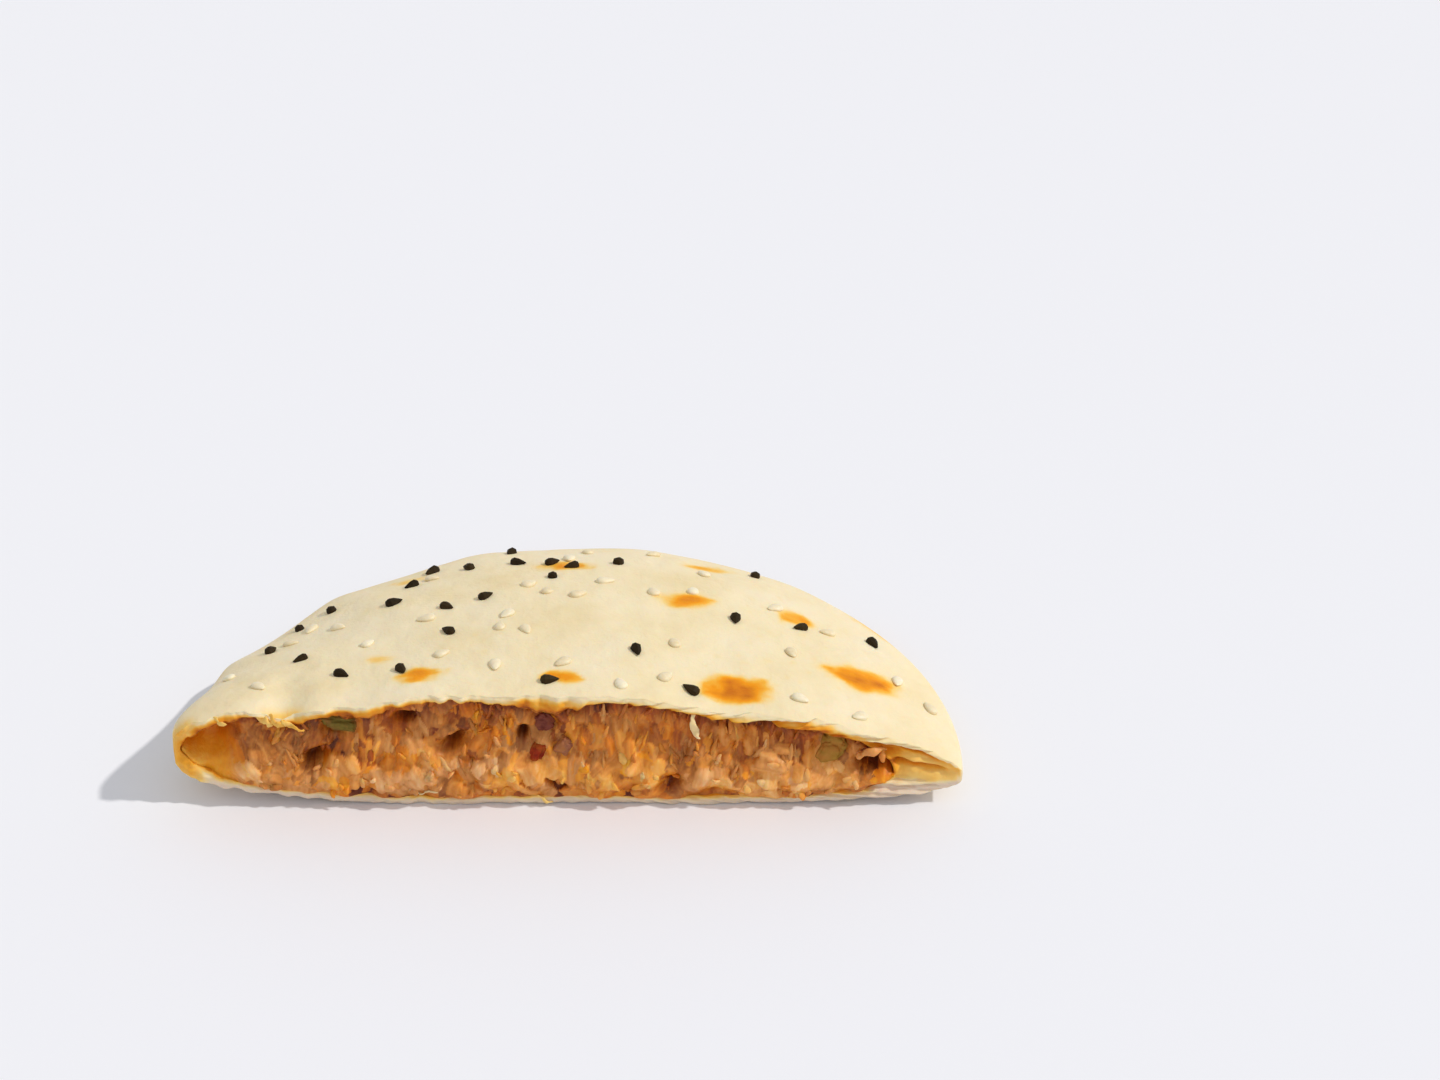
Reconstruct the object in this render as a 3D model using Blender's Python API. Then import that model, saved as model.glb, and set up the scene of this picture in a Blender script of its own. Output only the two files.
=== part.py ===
"""Half of a round tuna pastry: a thin dough pocket, cut straight through, full of shredded tuna.

The cut faces -Y and the half rests on its flat underside at Z = 0. The origin is under the middle of
the half. Lengths are in metres. "Depth" is the distance back from the plane of the cut.
"""

import math
import random

import bmesh
import bpy
from mathutils import Quaternion, Vector, noise

# Plan of the half pastry.
CUT_Y = -0.0380  # the plane of the cut
CENTRE_X = -0.005  # the dome is highest a little left of the middle
MEAN_RADIUS = 0.0741
RIGHT_REACH = 0.0056  # how much further than the mean the right end lies from the centre
BACK_BULGE = 0.0037
CORNER_PITCH = math.radians(25)  # the folded edge has a soft corner this often
CORNER_START = math.radians(127)
CORNER_SIZE = 0.0011
CORNER_ROUNDING = 0.03
CORNER_CENTRE = math.radians(150)  # the corners run out away from this direction

# Heights of the outer skin.
APEX_HEIGHT = 0.0250
RIM_HEIGHT_BACK = 0.0052
RIM_HEIGHT_LEFT = 0.0122
RIM_HEIGHT_RIGHT = 0.0072
DOME_POWER_BACK = 0.84  # below 1 the dome is full, and steep at its rim
DOME_POWER_LEFT = 0.32
DOME_POWER_RIGHT = 0.74
END_FOCUS = 26  # how soon the shape of the cut ends settles to that of the back
BELLY_POWER = 0.31
BELLY_SINK = 0.0008
REST_SPOT = (-0.001, 0.028)  # X and depth of the middle of the three-lobed patch that the half rests on
REST_RADIUS = 0.030
REST_LOBES = 0.4
REST_LIFT = 0.0004  # how far the under crust is lifted round that patch
REST_FADE = 0.0027
SAGS = ((-0.0525, 0.0042, 0.0023), (-0.0405, 0.0085, 0.0017), (0.0280, 0.0095, 0.0014))
SAG_REACH = 0.012  # how far back from the cut the sags run out
SKIN_RELIEF = 0.00045
SKIN_RELIEF_FADE = 4  # the relief runs out where the share inside is below 1 in this many
SKIN_WAVE = 0.021
SKIN_CREASE = 0.0075
CREASE_SHARE = 0.45

# The dough wall.
TOP_DOUGH = 0.0013
BOTTOM_DOUGH = 0.0018
WALL_LEFT = 0.0012
WALL_BACK = 0.0040
WALL_RIGHT = 0.0130
WALL_FOCUS = 3
CAVITY_BLUNTNESS = 8
CAVITY_EDGE = 0.0002
LUMPS = ((-0.043, 0.0085, 0.0008), (-0.003, 0.0080, 0.0012), (0.047, 0.0090, 0.0008))
LUMP_REACH = 0.008

# The torn edge of the cut. Each grain is its relief, its size across and up, and its own pattern.
TEAR_GRAIN = (0.0009, 0.0065, 0.0065, 3.1)
FRAY_GRAIN = (0.0011, 0.0024, 0.0024, 8.4)
BOTTOM_LIP = 0.0006  # the under crust stands out this much further than the top one

# Gaps between folded layers of dough at the right end: share of the height, start, end, thickness.
LAYER_GAPS = ((0.87, 0.0605, 0.0702, 0.0005), (0.61, 0.0585, 0.0722, 0.0010))
LAYER_GAP_DEPTH = 0.006
LAYER_GAP_END_DEPTH = 0.003
LAYER_GAP_BACK_SHARE = 0.4  # what is left of the thickness at the gap's back, and at its end
LAYER_GAP_GRID = (10, 4)

# The filling. Each hole is its x, height, size and depth.
CLEARANCE = 0.0003
FACE_FOOT = -0.0010
FACE_LEAN = 0.0030  # the top of the filling's face lies this much further back than its foot
FIBRE_GRAIN = (0.0009, 0.0021, 0.0090, 1.7)
CRAG_GRAIN = (0.0012, 0.0046, 0.0046, 0.0)
CURD_GRAIN = (0.0007, 0.0024, 0.0024, 8.3)
HOLES = (
    (-0.0480, 0.0110, 0.0028, 0.0042),
    (-0.0225, 0.0135, 0.0026, 0.0042),
    (-0.0300, 0.0188, 0.0022, 0.0030),
    (-0.0080, 0.0160, 0.0015, 0.0022),
    (0.0195, 0.0050, 0.0022, 0.0024),
    (0.0505, 0.0152, 0.0026, 0.0040),
    (0.0566, 0.0092, 0.0028, 0.0026),
)
POCKET_EDGE_X = -0.0590  # left of here the pocket of dough is open
POCKET_SLOPE = 0.0080
POCKET_DEPTH = 0.0050
POCKET_FOOT = 0.3  # share of that depth at the foot of the face

# Vegetable pieces in the filling's face: name, x, height, size, turn in degrees, colour.
PIECES = (
    ("green_pepper_left", -0.0422, 0.0172, (0.0070, 0.0040, 0.0029), 6, (0.30, 0.34, 0.07)),
    ("green_pepper_right", 0.0496, 0.0103, (0.0058, 0.0042, 0.0078), 24, (0.27, 0.25, 0.05)),
    ("onion_piece_upper", -0.0043, 0.0177, (0.0037, 0.0036, 0.0040), -30, (0.20, 0.06, 0.07)),
    ("onion_piece_lower", -0.0004, 0.0131, (0.0030, 0.0036, 0.0040), 35, (0.33, 0.14, 0.12)),
    ("red_pepper_piece", -0.0054, 0.0117, (0.0028, 0.0036, 0.0047), 18, (0.50, 0.03, 0.015)),
)
PIECE_STAND_OUT = 0.0007
PIECE_SQUARENESS = 0.58
PIECE_UNEVENNESS = 0.30
PIECE_BUMPS = 1.3

# Grid sizes.
CRUST_GRID = (38, 16)
CAVITY_GRID = (28, 11)
CRUST_OVERHANG = 0.006
CAVITY_OVERHANG = 0.008
END_DENSITY = 0.6
BLOCK_REACH = 0.082
BLOCK_BOTTOM = -0.003
BLOCK_TOP = 0.030
BLOCK_FRONT = 0.012
TEAR_STEP = 0.0021
FACE_STEP = 0.0016

# Seeds on the crust.
SEED_SPACING = 0.0042
SEED_CUT_MARGIN = 0.0035
SEED_RIM_MARGIN = 0.10
SEED_SINK = 0.30
SEED_SCALES = (0.90, 1.08)
SEED_SIDES = (5, 4)
BLACK_SEED_SIZE = (0.0031, 0.0017, 0.0013)
BLACK_SEED_TAPER = 0.35
BLACK_SEED_COUNT = 26
SESAME_SIZE = (0.0033, 0.0021, 0.0011)
SESAME_TAPER = 0.55
SESAME_COUNT = 34
SEED_DRAW = 55204
SLOPE_STEP = 0.0005

CRUST_COLOUR = (0.86, 0.72, 0.44)
CRUST_ROUGHNESS = 0.7
FILLING_COLOUR = (0.50, 0.22, 0.08)
FILLING_ROUGHNESS = 0.45
PIECE_ROUGHNESS = 0.35


def clear_scene():
    """Remove every object that the scene starts with."""
    for obj in list(bpy.data.objects):
        bpy.data.objects.remove(obj, do_unlink=True)


def bell(distance, width):
    """A smooth hump of height 1 that fades over a few widths."""
    return math.exp(-((distance / width) ** 2))


def smooth_step(value):
    """0 below 0, 1 above 1, and a smooth rise between."""
    value = max(0.0, min(1.0, value))
    return value * value * (3 - 2 * value)


def end_share(angle, power):
    """How much a direction belongs to the left and to the right end, each from 0 to 1."""
    turn = math.cos(angle)
    return ((1 - turn) / 2) ** power, ((1 + turn) / 2) ** power


def outline_radius(angle):
    """How far the folded edge lies from the centre of the dome."""
    swing = math.sin(math.pi * (angle - CORNER_START) / CORNER_PITCH)
    corner = 1 - 2 * math.sqrt(swing * swing + CORNER_ROUNDING)
    fade = ((1 + math.cos(angle - CORNER_CENTRE)) / 2) ** 2
    bulge = BACK_BULGE * abs(math.sin(angle))
    return MEAN_RADIUS + RIGHT_REACH * math.cos(angle) + bulge + CORNER_SIZE * corner * fade


def between_ends(angle, focus, left_value, back_value, right_value):
    """A value that runs from the left end over the back to the right end."""
    left, right = end_share(angle, focus)
    return back_value + (left_value - back_value) * left + (right_value - back_value) * right


def rim_height(angle):
    """Height at which the top and the under skin meet."""
    return between_ends(angle, END_FOCUS, RIM_HEIGHT_LEFT, RIM_HEIGHT_BACK, RIM_HEIGHT_RIGHT)


def wall_width(angle):
    """Width of the solid dough between the filling and the rim."""
    return between_ends(angle, WALL_FOCUS, WALL_LEFT, WALL_BACK, WALL_RIGHT)


def share_inside(x, depth, wall):
    """1 at the centre of the dome, falling to 0 at the outline less the wall."""
    across = x - CENTRE_X
    reach = outline_radius(math.atan2(depth, across)) - wall
    ratio = min(1.0, math.hypot(across, depth) / reach)
    return 1 - ratio * ratio


def top_skin(x, depth):
    """Height of the outer face of the top crust."""
    angle = math.atan2(depth, x - CENTRE_X)
    inside = share_inside(x, depth, 0.0)
    power = between_ends(angle, END_FOCUS, DOME_POWER_LEFT, DOME_POWER_BACK, DOME_POWER_RIGHT)
    dome = rim_height(angle) + (APEX_HEIGHT - rim_height(angle)) * inside**power
    sag = sum(drop * bell(x - spot, width) for spot, width, drop in SAGS)
    spot = Vector((x, depth, 0.0))
    waves = noise.noise(spot / SKIN_WAVE) + CREASE_SHARE * noise.noise(spot / SKIN_CREASE)
    fade = bell(max(depth, 0.0), SAG_REACH)
    return dome - sag * fade + SKIN_RELIEF * waves * min(1.0, SKIN_RELIEF_FADE * inside)


def rest_lift(x, depth):
    """Height of the under crust round the patch that rests on the surface."""
    across = x - REST_SPOT[0]
    back = depth - REST_SPOT[1]
    edge = REST_RADIUS * (1 - REST_LOBES * math.sin(3 * math.atan2(back, across)))
    beyond = max(0.0, math.hypot(across, back) - edge)
    return REST_LIFT * (1 - math.exp(-beyond / REST_FADE))


def under_skin(x, depth):
    """Height of the outer face of the under crust, which lies flat except near the rim."""
    angle = math.atan2(depth, x - CENTRE_X)
    curl = rim_height(angle) * (1 - share_inside(x, depth, 0.0) ** BELLY_POWER)
    return max(0.0, curl - BELLY_SINK) + rest_lift(x, depth)


def crust_span(x, depth):
    """Lowest and highest point of the whole half at a place."""
    return under_skin(x, depth), top_skin(x, depth)


def cavity_span(x, depth, inset):
    """Lowest and highest point of the hollow in the dough, taken in by inset on every side."""
    angle = math.atan2(depth, x - CENTRE_X)
    middle = rim_height(angle)
    inside = share_inside(x, depth, wall_width(angle) + inset)
    blunt = math.sqrt(1 - (1 - inside) ** CAVITY_BLUNTNESS)
    lumps = sum(size * bell(x - spot, width) for spot, width, size in LUMPS)
    dough = TOP_DOUGH + lumps * bell(max(depth, 0.0), LUMP_REACH)
    above = top_skin(x, depth) - dough - inset - middle
    below = middle - under_skin(x, depth) - BOTTOM_DOUGH - inset
    return middle - max(CAVITY_EDGE, below * blunt), middle + max(CAVITY_EDGE, above * blunt)


def grain_relief(x, height, grain):
    """Relief of a grain at a place on the cut."""
    relief, across, up, pattern = grain
    return relief * noise.noise(Vector((x / across, height / up, pattern)))


def torn_edge(x, height):
    """Y of the dough's torn front."""
    lip = BOTTOM_LIP * (1 - smooth_step(2 * height / APEX_HEIGHT))
    return CUT_Y - lip + grain_relief(x, height, TEAR_GRAIN) + grain_relief(x, height, FRAY_GRAIN)


def filling_face(x, height):
    """Y of the filling's craggy front: fibres above, curds below, holes and the open pocket."""
    low, high = cavity_span(x, 0.0, CLEARANCE)
    way_up = (height - low) / (high - low)
    share = smooth_step(way_up)
    fibres = grain_relief(x, height, FIBRE_GRAIN) * share
    crags = grain_relief(x, height, CRAG_GRAIN) + grain_relief(x, height, CURD_GRAIN)
    holes = sum(deep * bell(math.hypot(x - hx, height - hz), size) for hx, hz, size, deep in HOLES)
    bowl = POCKET_FOOT + (1 - POCKET_FOOT) * smooth_step(1.6 * way_up)
    pocket = POCKET_DEPTH * bowl * smooth_step((POCKET_EDGE_X - x) / POCKET_SLOPE)
    return CUT_Y + FACE_FOOT + FACE_LEAN * share + fibres + crags + holes + pocket


def link(name, mesh, collection):
    """An object with the mesh, in the collection."""
    obj = bpy.data.objects.new(name, mesh)
    collection.objects.link(obj)
    return obj


def finished_mesh(name, bm):
    """The mesh of a closed bmesh, with its faces turned outwards."""
    bmesh.ops.recalc_face_normals(bm, faces=bm.faces)
    mesh = bpy.data.meshes.new(name)
    bm.to_mesh(mesh)
    bm.free()
    return mesh


def grid_slab(columns, rows):
    """A flat grid from -1 to 1 extruded to a closed slab, and the vertices of its second face."""
    bm = bmesh.new()
    bmesh.ops.create_grid(bm, x_segments=columns, y_segments=rows, size=1.0)
    extruded = bmesh.ops.extrude_face_region(bm, geom=bm.faces[:])["geom"]
    return bm, {item for item in extruded if isinstance(item, bmesh.types.BMVert)}


def denser_ends(value):
    """Moves an even spacing from -1 to 1 towards the ends, where the rim is round."""
    return (1 - END_DENSITY) * value + END_DENSITY * math.sin(value * math.pi / 2)


def half_disc(name, grid, wall, span, overhang, collection):
    """A closed solid on the half disc inside the outline less wall(angle).

    span(x, depth) gives its lowest and its highest point. Its first row of faces carries the section
    straight on past the cut by the overhang.
    """
    columns, rows = grid
    bm, under = grid_slab(columns, rows)
    for vertex in bm.verts:
        row = round((vertex.co.y + 1) / 2 * rows)
        u = denser_ends(vertex.co.x)
        v = denser_ends(max(row - 1, 0) / (rows - 1))
        across = u * math.sqrt(1 - v * v / 2)
        back = v * math.sqrt(1 - u * u / 2)
        angle = math.atan2(back, across)
        reach = (outline_radius(angle) - wall(angle)) * math.hypot(across, back)
        x = CENTRE_X + reach * math.cos(angle)
        depth = reach * math.sin(angle)
        low, high = span(x, depth)
        y = CUT_Y + depth if row > 0 else CUT_Y - overhang
        vertex.co = Vector((x, y, low if vertex in under else high))
    return link(name, finished_mesh(name, bm), collection)


def front_block(name, step, back_face, collection):
    """A block in front of the cut, whose back follows back_face(x, height)."""
    columns = round(2 * BLOCK_REACH / step)
    rows = round((BLOCK_TOP - BLOCK_BOTTOM) / step)
    bm, front = grid_slab(columns, rows)
    for vertex in bm.verts:
        x = vertex.co.x * BLOCK_REACH
        z = BLOCK_BOTTOM + (vertex.co.y + 1) / 2 * (BLOCK_TOP - BLOCK_BOTTOM)
        vertex.co = Vector((x, CUT_Y - BLOCK_FRONT if vertex in front else back_face(x, z), z))
    return link(name, finished_mesh(name, bm), collection)


def layer_gap(name, share, start, end, thickness, collection):
    """A thin tapered slit between two layers of dough, open at the cut."""
    bm, under = grid_slab(*LAYER_GAP_GRID)
    for vertex in bm.verts:
        along = (vertex.co.x + 1) / 2
        back = (vertex.co.y + 1) / 2
        x = start + (end - start) * along
        reach = LAYER_GAP_DEPTH + (LAYER_GAP_END_DEPTH - LAYER_GAP_DEPTH) * along
        depth = back * (reach + CRUST_OVERHANG) - CRUST_OVERHANG
        low, high = crust_span(x, max(depth, 0.0))
        thinning = 1 - LAYER_GAP_BACK_SHARE
        taper = (1 - thinning * along * along) * (1 - thinning * back)
        side = -0.5 if vertex in under else 0.5
        z = low + share * (high - low) + side * thickness * taper
        vertex.co = Vector((x, CUT_Y + depth, z))
    return link(name, finished_mesh(name, bm), collection)


def uneven_piece(name, place, size, turn, seed, collection):
    """A small rounded block with uneven sides, turned about the Y axis."""
    bm = bmesh.new()
    bmesh.ops.create_icosphere(bm, subdivisions=2, radius=1.0)
    for vertex in bm.verts:
        bump = 1 + PIECE_UNEVENNESS * noise.noise(vertex.co * PIECE_BUMPS + Vector((seed, 0.0, 0.0)))
        for axis in range(3):
            part = vertex.co[axis]
            rounded = math.copysign(abs(part) ** PIECE_SQUARENESS, part)
            vertex.co[axis] = rounded * bump * size[axis] / 2
    obj = link(name, finished_mesh(name, bm), collection)
    obj.location = place
    obj.rotation_euler.y = math.radians(turn)
    return obj


def seed_mesh(name, size, taper):
    """An oval seed that narrows to one end."""
    bm = bmesh.new()
    bmesh.ops.create_uvsphere(bm, u_segments=SEED_SIDES[0], v_segments=SEED_SIDES[1], radius=0.5)
    for vertex in bm.verts:
        x, y, z = vertex.co.z, vertex.co.y, vertex.co.x
        narrow = 1 - taper * x
        vertex.co = Vector((x * size[0], y * size[1] * narrow, z * size[2] * narrow))
    return finished_mesh(name, bm)


def surface_turn(x, depth):
    """The rotation that tips the upward axis to the skin's own outward direction."""
    rise_x = top_skin(x + SLOPE_STEP, depth) - top_skin(x - SLOPE_STEP, depth)
    rise_y = top_skin(x, depth + SLOPE_STEP) - top_skin(x, depth - SLOPE_STEP)
    return Vector((0.0, 0.0, 1.0)).rotation_difference(Vector((-rise_x, -rise_y, 2 * SLOPE_STEP)))


def seed_places():
    """Spots spread over the top crust, each with a turn about the upward axis and a size."""
    draw = random.Random(SEED_DRAW)
    places = []
    while len(places) < BLACK_SEED_COUNT + SESAME_COUNT:
        angle = draw.uniform(0.0, math.pi)
        reach = outline_radius(angle) * math.sqrt(draw.random())
        spot = Vector((CENTRE_X + reach * math.cos(angle), reach * math.sin(angle)))
        turn = draw.uniform(0.0, 2 * math.pi)
        size = draw.uniform(*SEED_SCALES)
        on_skin = spot.y > SEED_CUT_MARGIN and share_inside(*spot, 0.0) > SEED_RIM_MARGIN
        if on_skin and all((spot - other[0]).length > SEED_SPACING for other in places):
            places.append((spot, turn, size))
    return places


def scatter_seeds(collection):
    """Put black seeds and sesame seeds on the top crust, sunk a little into it."""
    black_seed = seed_mesh("black_seed", BLACK_SEED_SIZE, BLACK_SEED_TAPER)
    sesame = seed_mesh("sesame_seed", SESAME_SIZE, SESAME_TAPER)
    for index, (spot, turn, size) in enumerate(seed_places()):
        black = index < BLACK_SEED_COUNT
        seed = link(f"seed_{index:02d}", black_seed if black else sesame, collection)
        tip = surface_turn(*spot)
        thickness = (BLACK_SEED_SIZE if black else SESAME_SIZE)[2] * size
        raised = tip @ Vector((0.0, 0.0, (0.5 - SEED_SINK) * thickness))
        seed.location = Vector((spot.x, CUT_Y + spot.y, top_skin(*spot))) + raised
        seed.rotation_mode = "QUATERNION"
        seed.rotation_quaternion = tip @ Quaternion((0.0, 0.0, 1.0), turn)
        seed.scale = (size, size, size)


def cut(target, cutter):
    """Take the cutter's shape out of the target and show the cutter as wire only."""
    modifier = target.modifiers.new(f"cut by {cutter.name}", "BOOLEAN")
    modifier.operation = "DIFFERENCE"
    modifier.object = cutter
    cutter.hide_render = True
    cutter.display_type = "WIRE"


def fuse_collection(target, collection):
    """Join everything in a collection to the target for good, and remove the collection."""
    modifier = target.modifiers.new("seeds", "BOOLEAN")
    modifier.operation = "UNION"
    modifier.operand_type = "COLLECTION"
    modifier.collection = collection
    bpy.context.view_layer.update()
    evaluated = target.evaluated_get(bpy.context.evaluated_depsgraph_get())
    mesh = bpy.data.meshes.new_from_object(evaluated)
    target.modifiers.remove(modifier)
    target.data = mesh
    for obj in list(collection.objects):
        bpy.data.objects.remove(obj, do_unlink=True)
    bpy.data.collections.remove(collection)


def paint(obj, colour, roughness):
    """Give the object a plain material of its own."""
    material = bpy.data.materials.new(f"{obj.name} material")
    material.use_nodes = True
    shader = material.node_tree.nodes["Principled BSDF"]
    shader.inputs["Base Color"].default_value = (*colour, 1.0)
    shader.inputs["Roughness"].default_value = roughness
    shader.inputs["Metallic"].default_value = 0.0
    obj.data.materials.clear()
    obj.data.materials.append(material)


def new_collection(name):
    """A collection in the scene."""
    collection = bpy.data.collections.new(name)
    bpy.context.scene.collection.children.link(collection)
    return collection


def build_crust(parts, cutters):
    """The dough pocket: a domed half disc with seeds, hollowed and torn open at the cut."""
    crust = half_disc("crust", CRUST_GRID, lambda angle: 0.0, crust_span, CRUST_OVERHANG, parts)
    seeds = new_collection("Seeds")
    scatter_seeds(seeds)
    fuse_collection(crust, seeds)
    hollow = half_disc(
        "hollow",
        CAVITY_GRID,
        wall_width,
        lambda x, depth: cavity_span(x, depth, 0.0),
        CAVITY_OVERHANG,
        cutters,
    )
    cut(crust, hollow)
    for index, gap in enumerate(LAYER_GAPS):
        cut(crust, layer_gap(f"layer_gap_{index}", *gap, cutters))
    cut(crust, front_block("torn_front", TEAR_STEP, torn_edge, cutters))
    paint(crust, CRUST_COLOUR, CRUST_ROUGHNESS)


def build_filling(parts, cutters):
    """The shredded tuna, which fits the hollow, and the vegetable pieces set into its face."""
    filling = half_disc(
        "filling",
        CAVITY_GRID,
        lambda angle: wall_width(angle) + CLEARANCE,
        lambda x, depth: cavity_span(x, depth, CLEARANCE),
        CRUST_OVERHANG,
        parts,
    )
    cut(filling, front_block("craggy_front", FACE_STEP, filling_face, cutters))
    paint(filling, FILLING_COLOUR, FILLING_ROUGHNESS)
    for index, (name, x, height, size, turn, colour) in enumerate(PIECES):
        y = filling_face(x, height) + size[1] / 2 - PIECE_STAND_OUT
        place = Vector((x, y, height))
        piece = uneven_piece(name, place, size, turn, index, parts)
        paint(piece, colour, PIECE_ROUGHNESS)
        room = [length + 2 * CLEARANCE for length in size]
        cut(filling, uneven_piece(f"{name}_socket", place, room, turn, index, cutters))


def main():
    clear_scene()
    parts = new_collection("Tuna pastry half")
    cutters = new_collection("Cutters")
    build_crust(parts, cutters)
    build_filling(parts, cutters)


if __name__ == "__main__":
    main()
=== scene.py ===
"""Half of a round tuna pastry, dressed: seeded crust, folded layers, shredded filling and vegetable bits.

Lengths are in metres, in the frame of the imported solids: X runs along the cut, Z is up and the cut faces
-Y. "Depth" is the distance back from the plane of the cut. The shape rules repeat those of the solids.
"""

import logging
import math
import random
from dataclasses import dataclass
from enum import Enum
from typing import Callable

import bmesh
import bpy
import numpy as np
from bpy.types import Material, Node, NodeSocket, NodeTree, Object
from mathutils import Matrix, Quaternion, Vector, noise


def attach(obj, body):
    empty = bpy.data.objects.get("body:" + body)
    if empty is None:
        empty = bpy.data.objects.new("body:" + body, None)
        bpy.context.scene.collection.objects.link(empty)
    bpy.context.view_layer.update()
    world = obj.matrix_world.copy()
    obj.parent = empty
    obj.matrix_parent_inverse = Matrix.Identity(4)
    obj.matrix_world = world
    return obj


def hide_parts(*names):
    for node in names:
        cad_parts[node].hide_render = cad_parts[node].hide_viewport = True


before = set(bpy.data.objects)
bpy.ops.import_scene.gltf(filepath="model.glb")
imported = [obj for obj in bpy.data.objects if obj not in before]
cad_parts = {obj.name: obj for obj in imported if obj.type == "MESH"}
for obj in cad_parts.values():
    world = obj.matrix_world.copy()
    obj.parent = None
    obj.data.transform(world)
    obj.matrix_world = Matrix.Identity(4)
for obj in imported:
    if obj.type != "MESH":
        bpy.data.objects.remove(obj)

LOG = logging.getLogger("tuna_pastry")
Pair = tuple[float, float]
Triple = tuple[float, float, float]
Colour = Triple
Stops = tuple[tuple[float, Colour], ...]
Array = np.ndarray


# Number helpers.


def noise_at(points: Array) -> Array:
    """Smooth noise.

    Args:
        points: Places, last axis x, y, z.

    Returns:
        Noise from -1 to 1 at each place.
    """
    flat = points.reshape(-1, 3)
    values = np.fromiter((noise.noise(spot) for spot in flat.tolist()), float, len(flat))
    return values.reshape(points.shape[:-1])


def grain(x: Array, y: Array, size: Pair, pattern: float) -> Array:
    """Noise from -1 to 1 over a plane, of a size along each coordinate and one of the endless patterns."""
    spots = np.stack([x / size[0], y / size[1], np.full_like(x, pattern)], axis=-1)
    return noise_at(spots)


def bell(distance: Array, width: float) -> Array:
    """A smooth hump of height 1 that fades over a few widths."""
    return np.exp(-((distance / width) ** 2))


def smooth_step(value: Array) -> Array:
    """0 below 0, 1 above 1, and a smooth rise between."""
    value = np.clip(value, 0.0, 1.0)
    return value * value * (3 - 2 * value)


def close_rim(first: Array, second: Array) -> None:
    """Makes two skins meet halfway along all edges of their grids but the first row.

    Args:
        first: Points or heights of one skin.
        second: Those of the other skin.
    """
    rim = np.zeros(first.shape[:2], bool)
    rim[-1, :] = rim[:, 0] = rim[:, -1] = True
    first[rim] = second[rim] = ((first + second) / 2)[rim]


@dataclass(frozen=True)
class Spacing:
    """Positions dense towards both ends of a length, by the steps at its start, middle and end."""

    length: float
    steps: Triple
    reach: Pair
    samples: int = 4001

    def positions(self) -> Array:
        """Works out the positions.

        Returns:
            The positions, first 0 and last 1.
        """
        start, middle, end = self.steps
        spots = np.linspace(0.0, self.length, self.samples)
        step = middle - (middle - start) * np.exp(-spots / self.reach[0])
        step -= (middle - end) * np.exp((spots - self.length) / self.reach[1])
        share = np.diff(spots) * 0.5 * (1 / step[1:] + 1 / step[:-1])
        count = np.concatenate(([0.0], np.cumsum(share)))
        even = np.linspace(0.0, count[-1], round(count[-1]) + 1)
        return np.interp(even, count, spots) / self.length

    def both_ways(self) -> Array:
        """The same positions from -1 to 1."""
        return 2 * self.positions() - 1


@dataclass(frozen=True)
class Grain:
    """A value that is uneven over a surface.

    Attributes:
        depth: How far it strays from its mean.
        size: Size of its unevenness along each coordinate.
        pattern: Picks one of the endless patterns.
        mean: The value round which it strays.
    """

    depth: float
    size: Pair
    pattern: float
    mean: float = 0.0

    def at(self, x: Array, y: Array) -> Array:
        """The value at each spot."""
        return self.mean + self.depth * grain(x, y, self.size, self.pattern)


@dataclass(frozen=True)
class Rise:
    """A smooth rise from 0; with a negative length it runs the other way.

    Attributes:
        start: Where it leaves 0.
        length: How far from there it is complete.
        height: What it rises to.
    """

    start: float
    length: float
    height: float = 1.0

    def at(self, place: Array) -> Array:
        """How far it has risen at each place."""
        return self.height * smooth_step((place - self.start) / self.length)


@dataclass(frozen=True)
class Swell:
    """A swelling or sag across the cut."""

    x: float
    width: float
    size: float

    def at(self, x: Array) -> Array:
        """How far it swells or sags at each X."""
        return self.size * bell(x - self.x, self.width)


@dataclass(frozen=True)
class Pit:
    """A pit in the filling's face."""

    x: float
    z: float
    radius: float
    depth: float

    def share(self, x: Array, z: Array) -> Array:
        """1 in its middle, falling to 0 around it."""
        return bell(np.hypot(x - self.x, z - self.z), self.radius)

    def at(self, x: Array, z: Array) -> Array:
        """Its depth at each place."""
        return self.depth * self.share(x, z)


@dataclass(frozen=True)
class Patch:
    """An oval patch of a surface, by its middle and its half sizes."""

    x: float
    y: float
    half_length: float
    half_width: float
    strength: float

    def away(self, x: Array | float, y: Array | float) -> Array:
        """Distance of each place from its middle, 1 at its edge."""
        return np.hypot((x - self.x) / self.half_length, (y - self.y) / self.half_width)


# The form that all pieces share.


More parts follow.
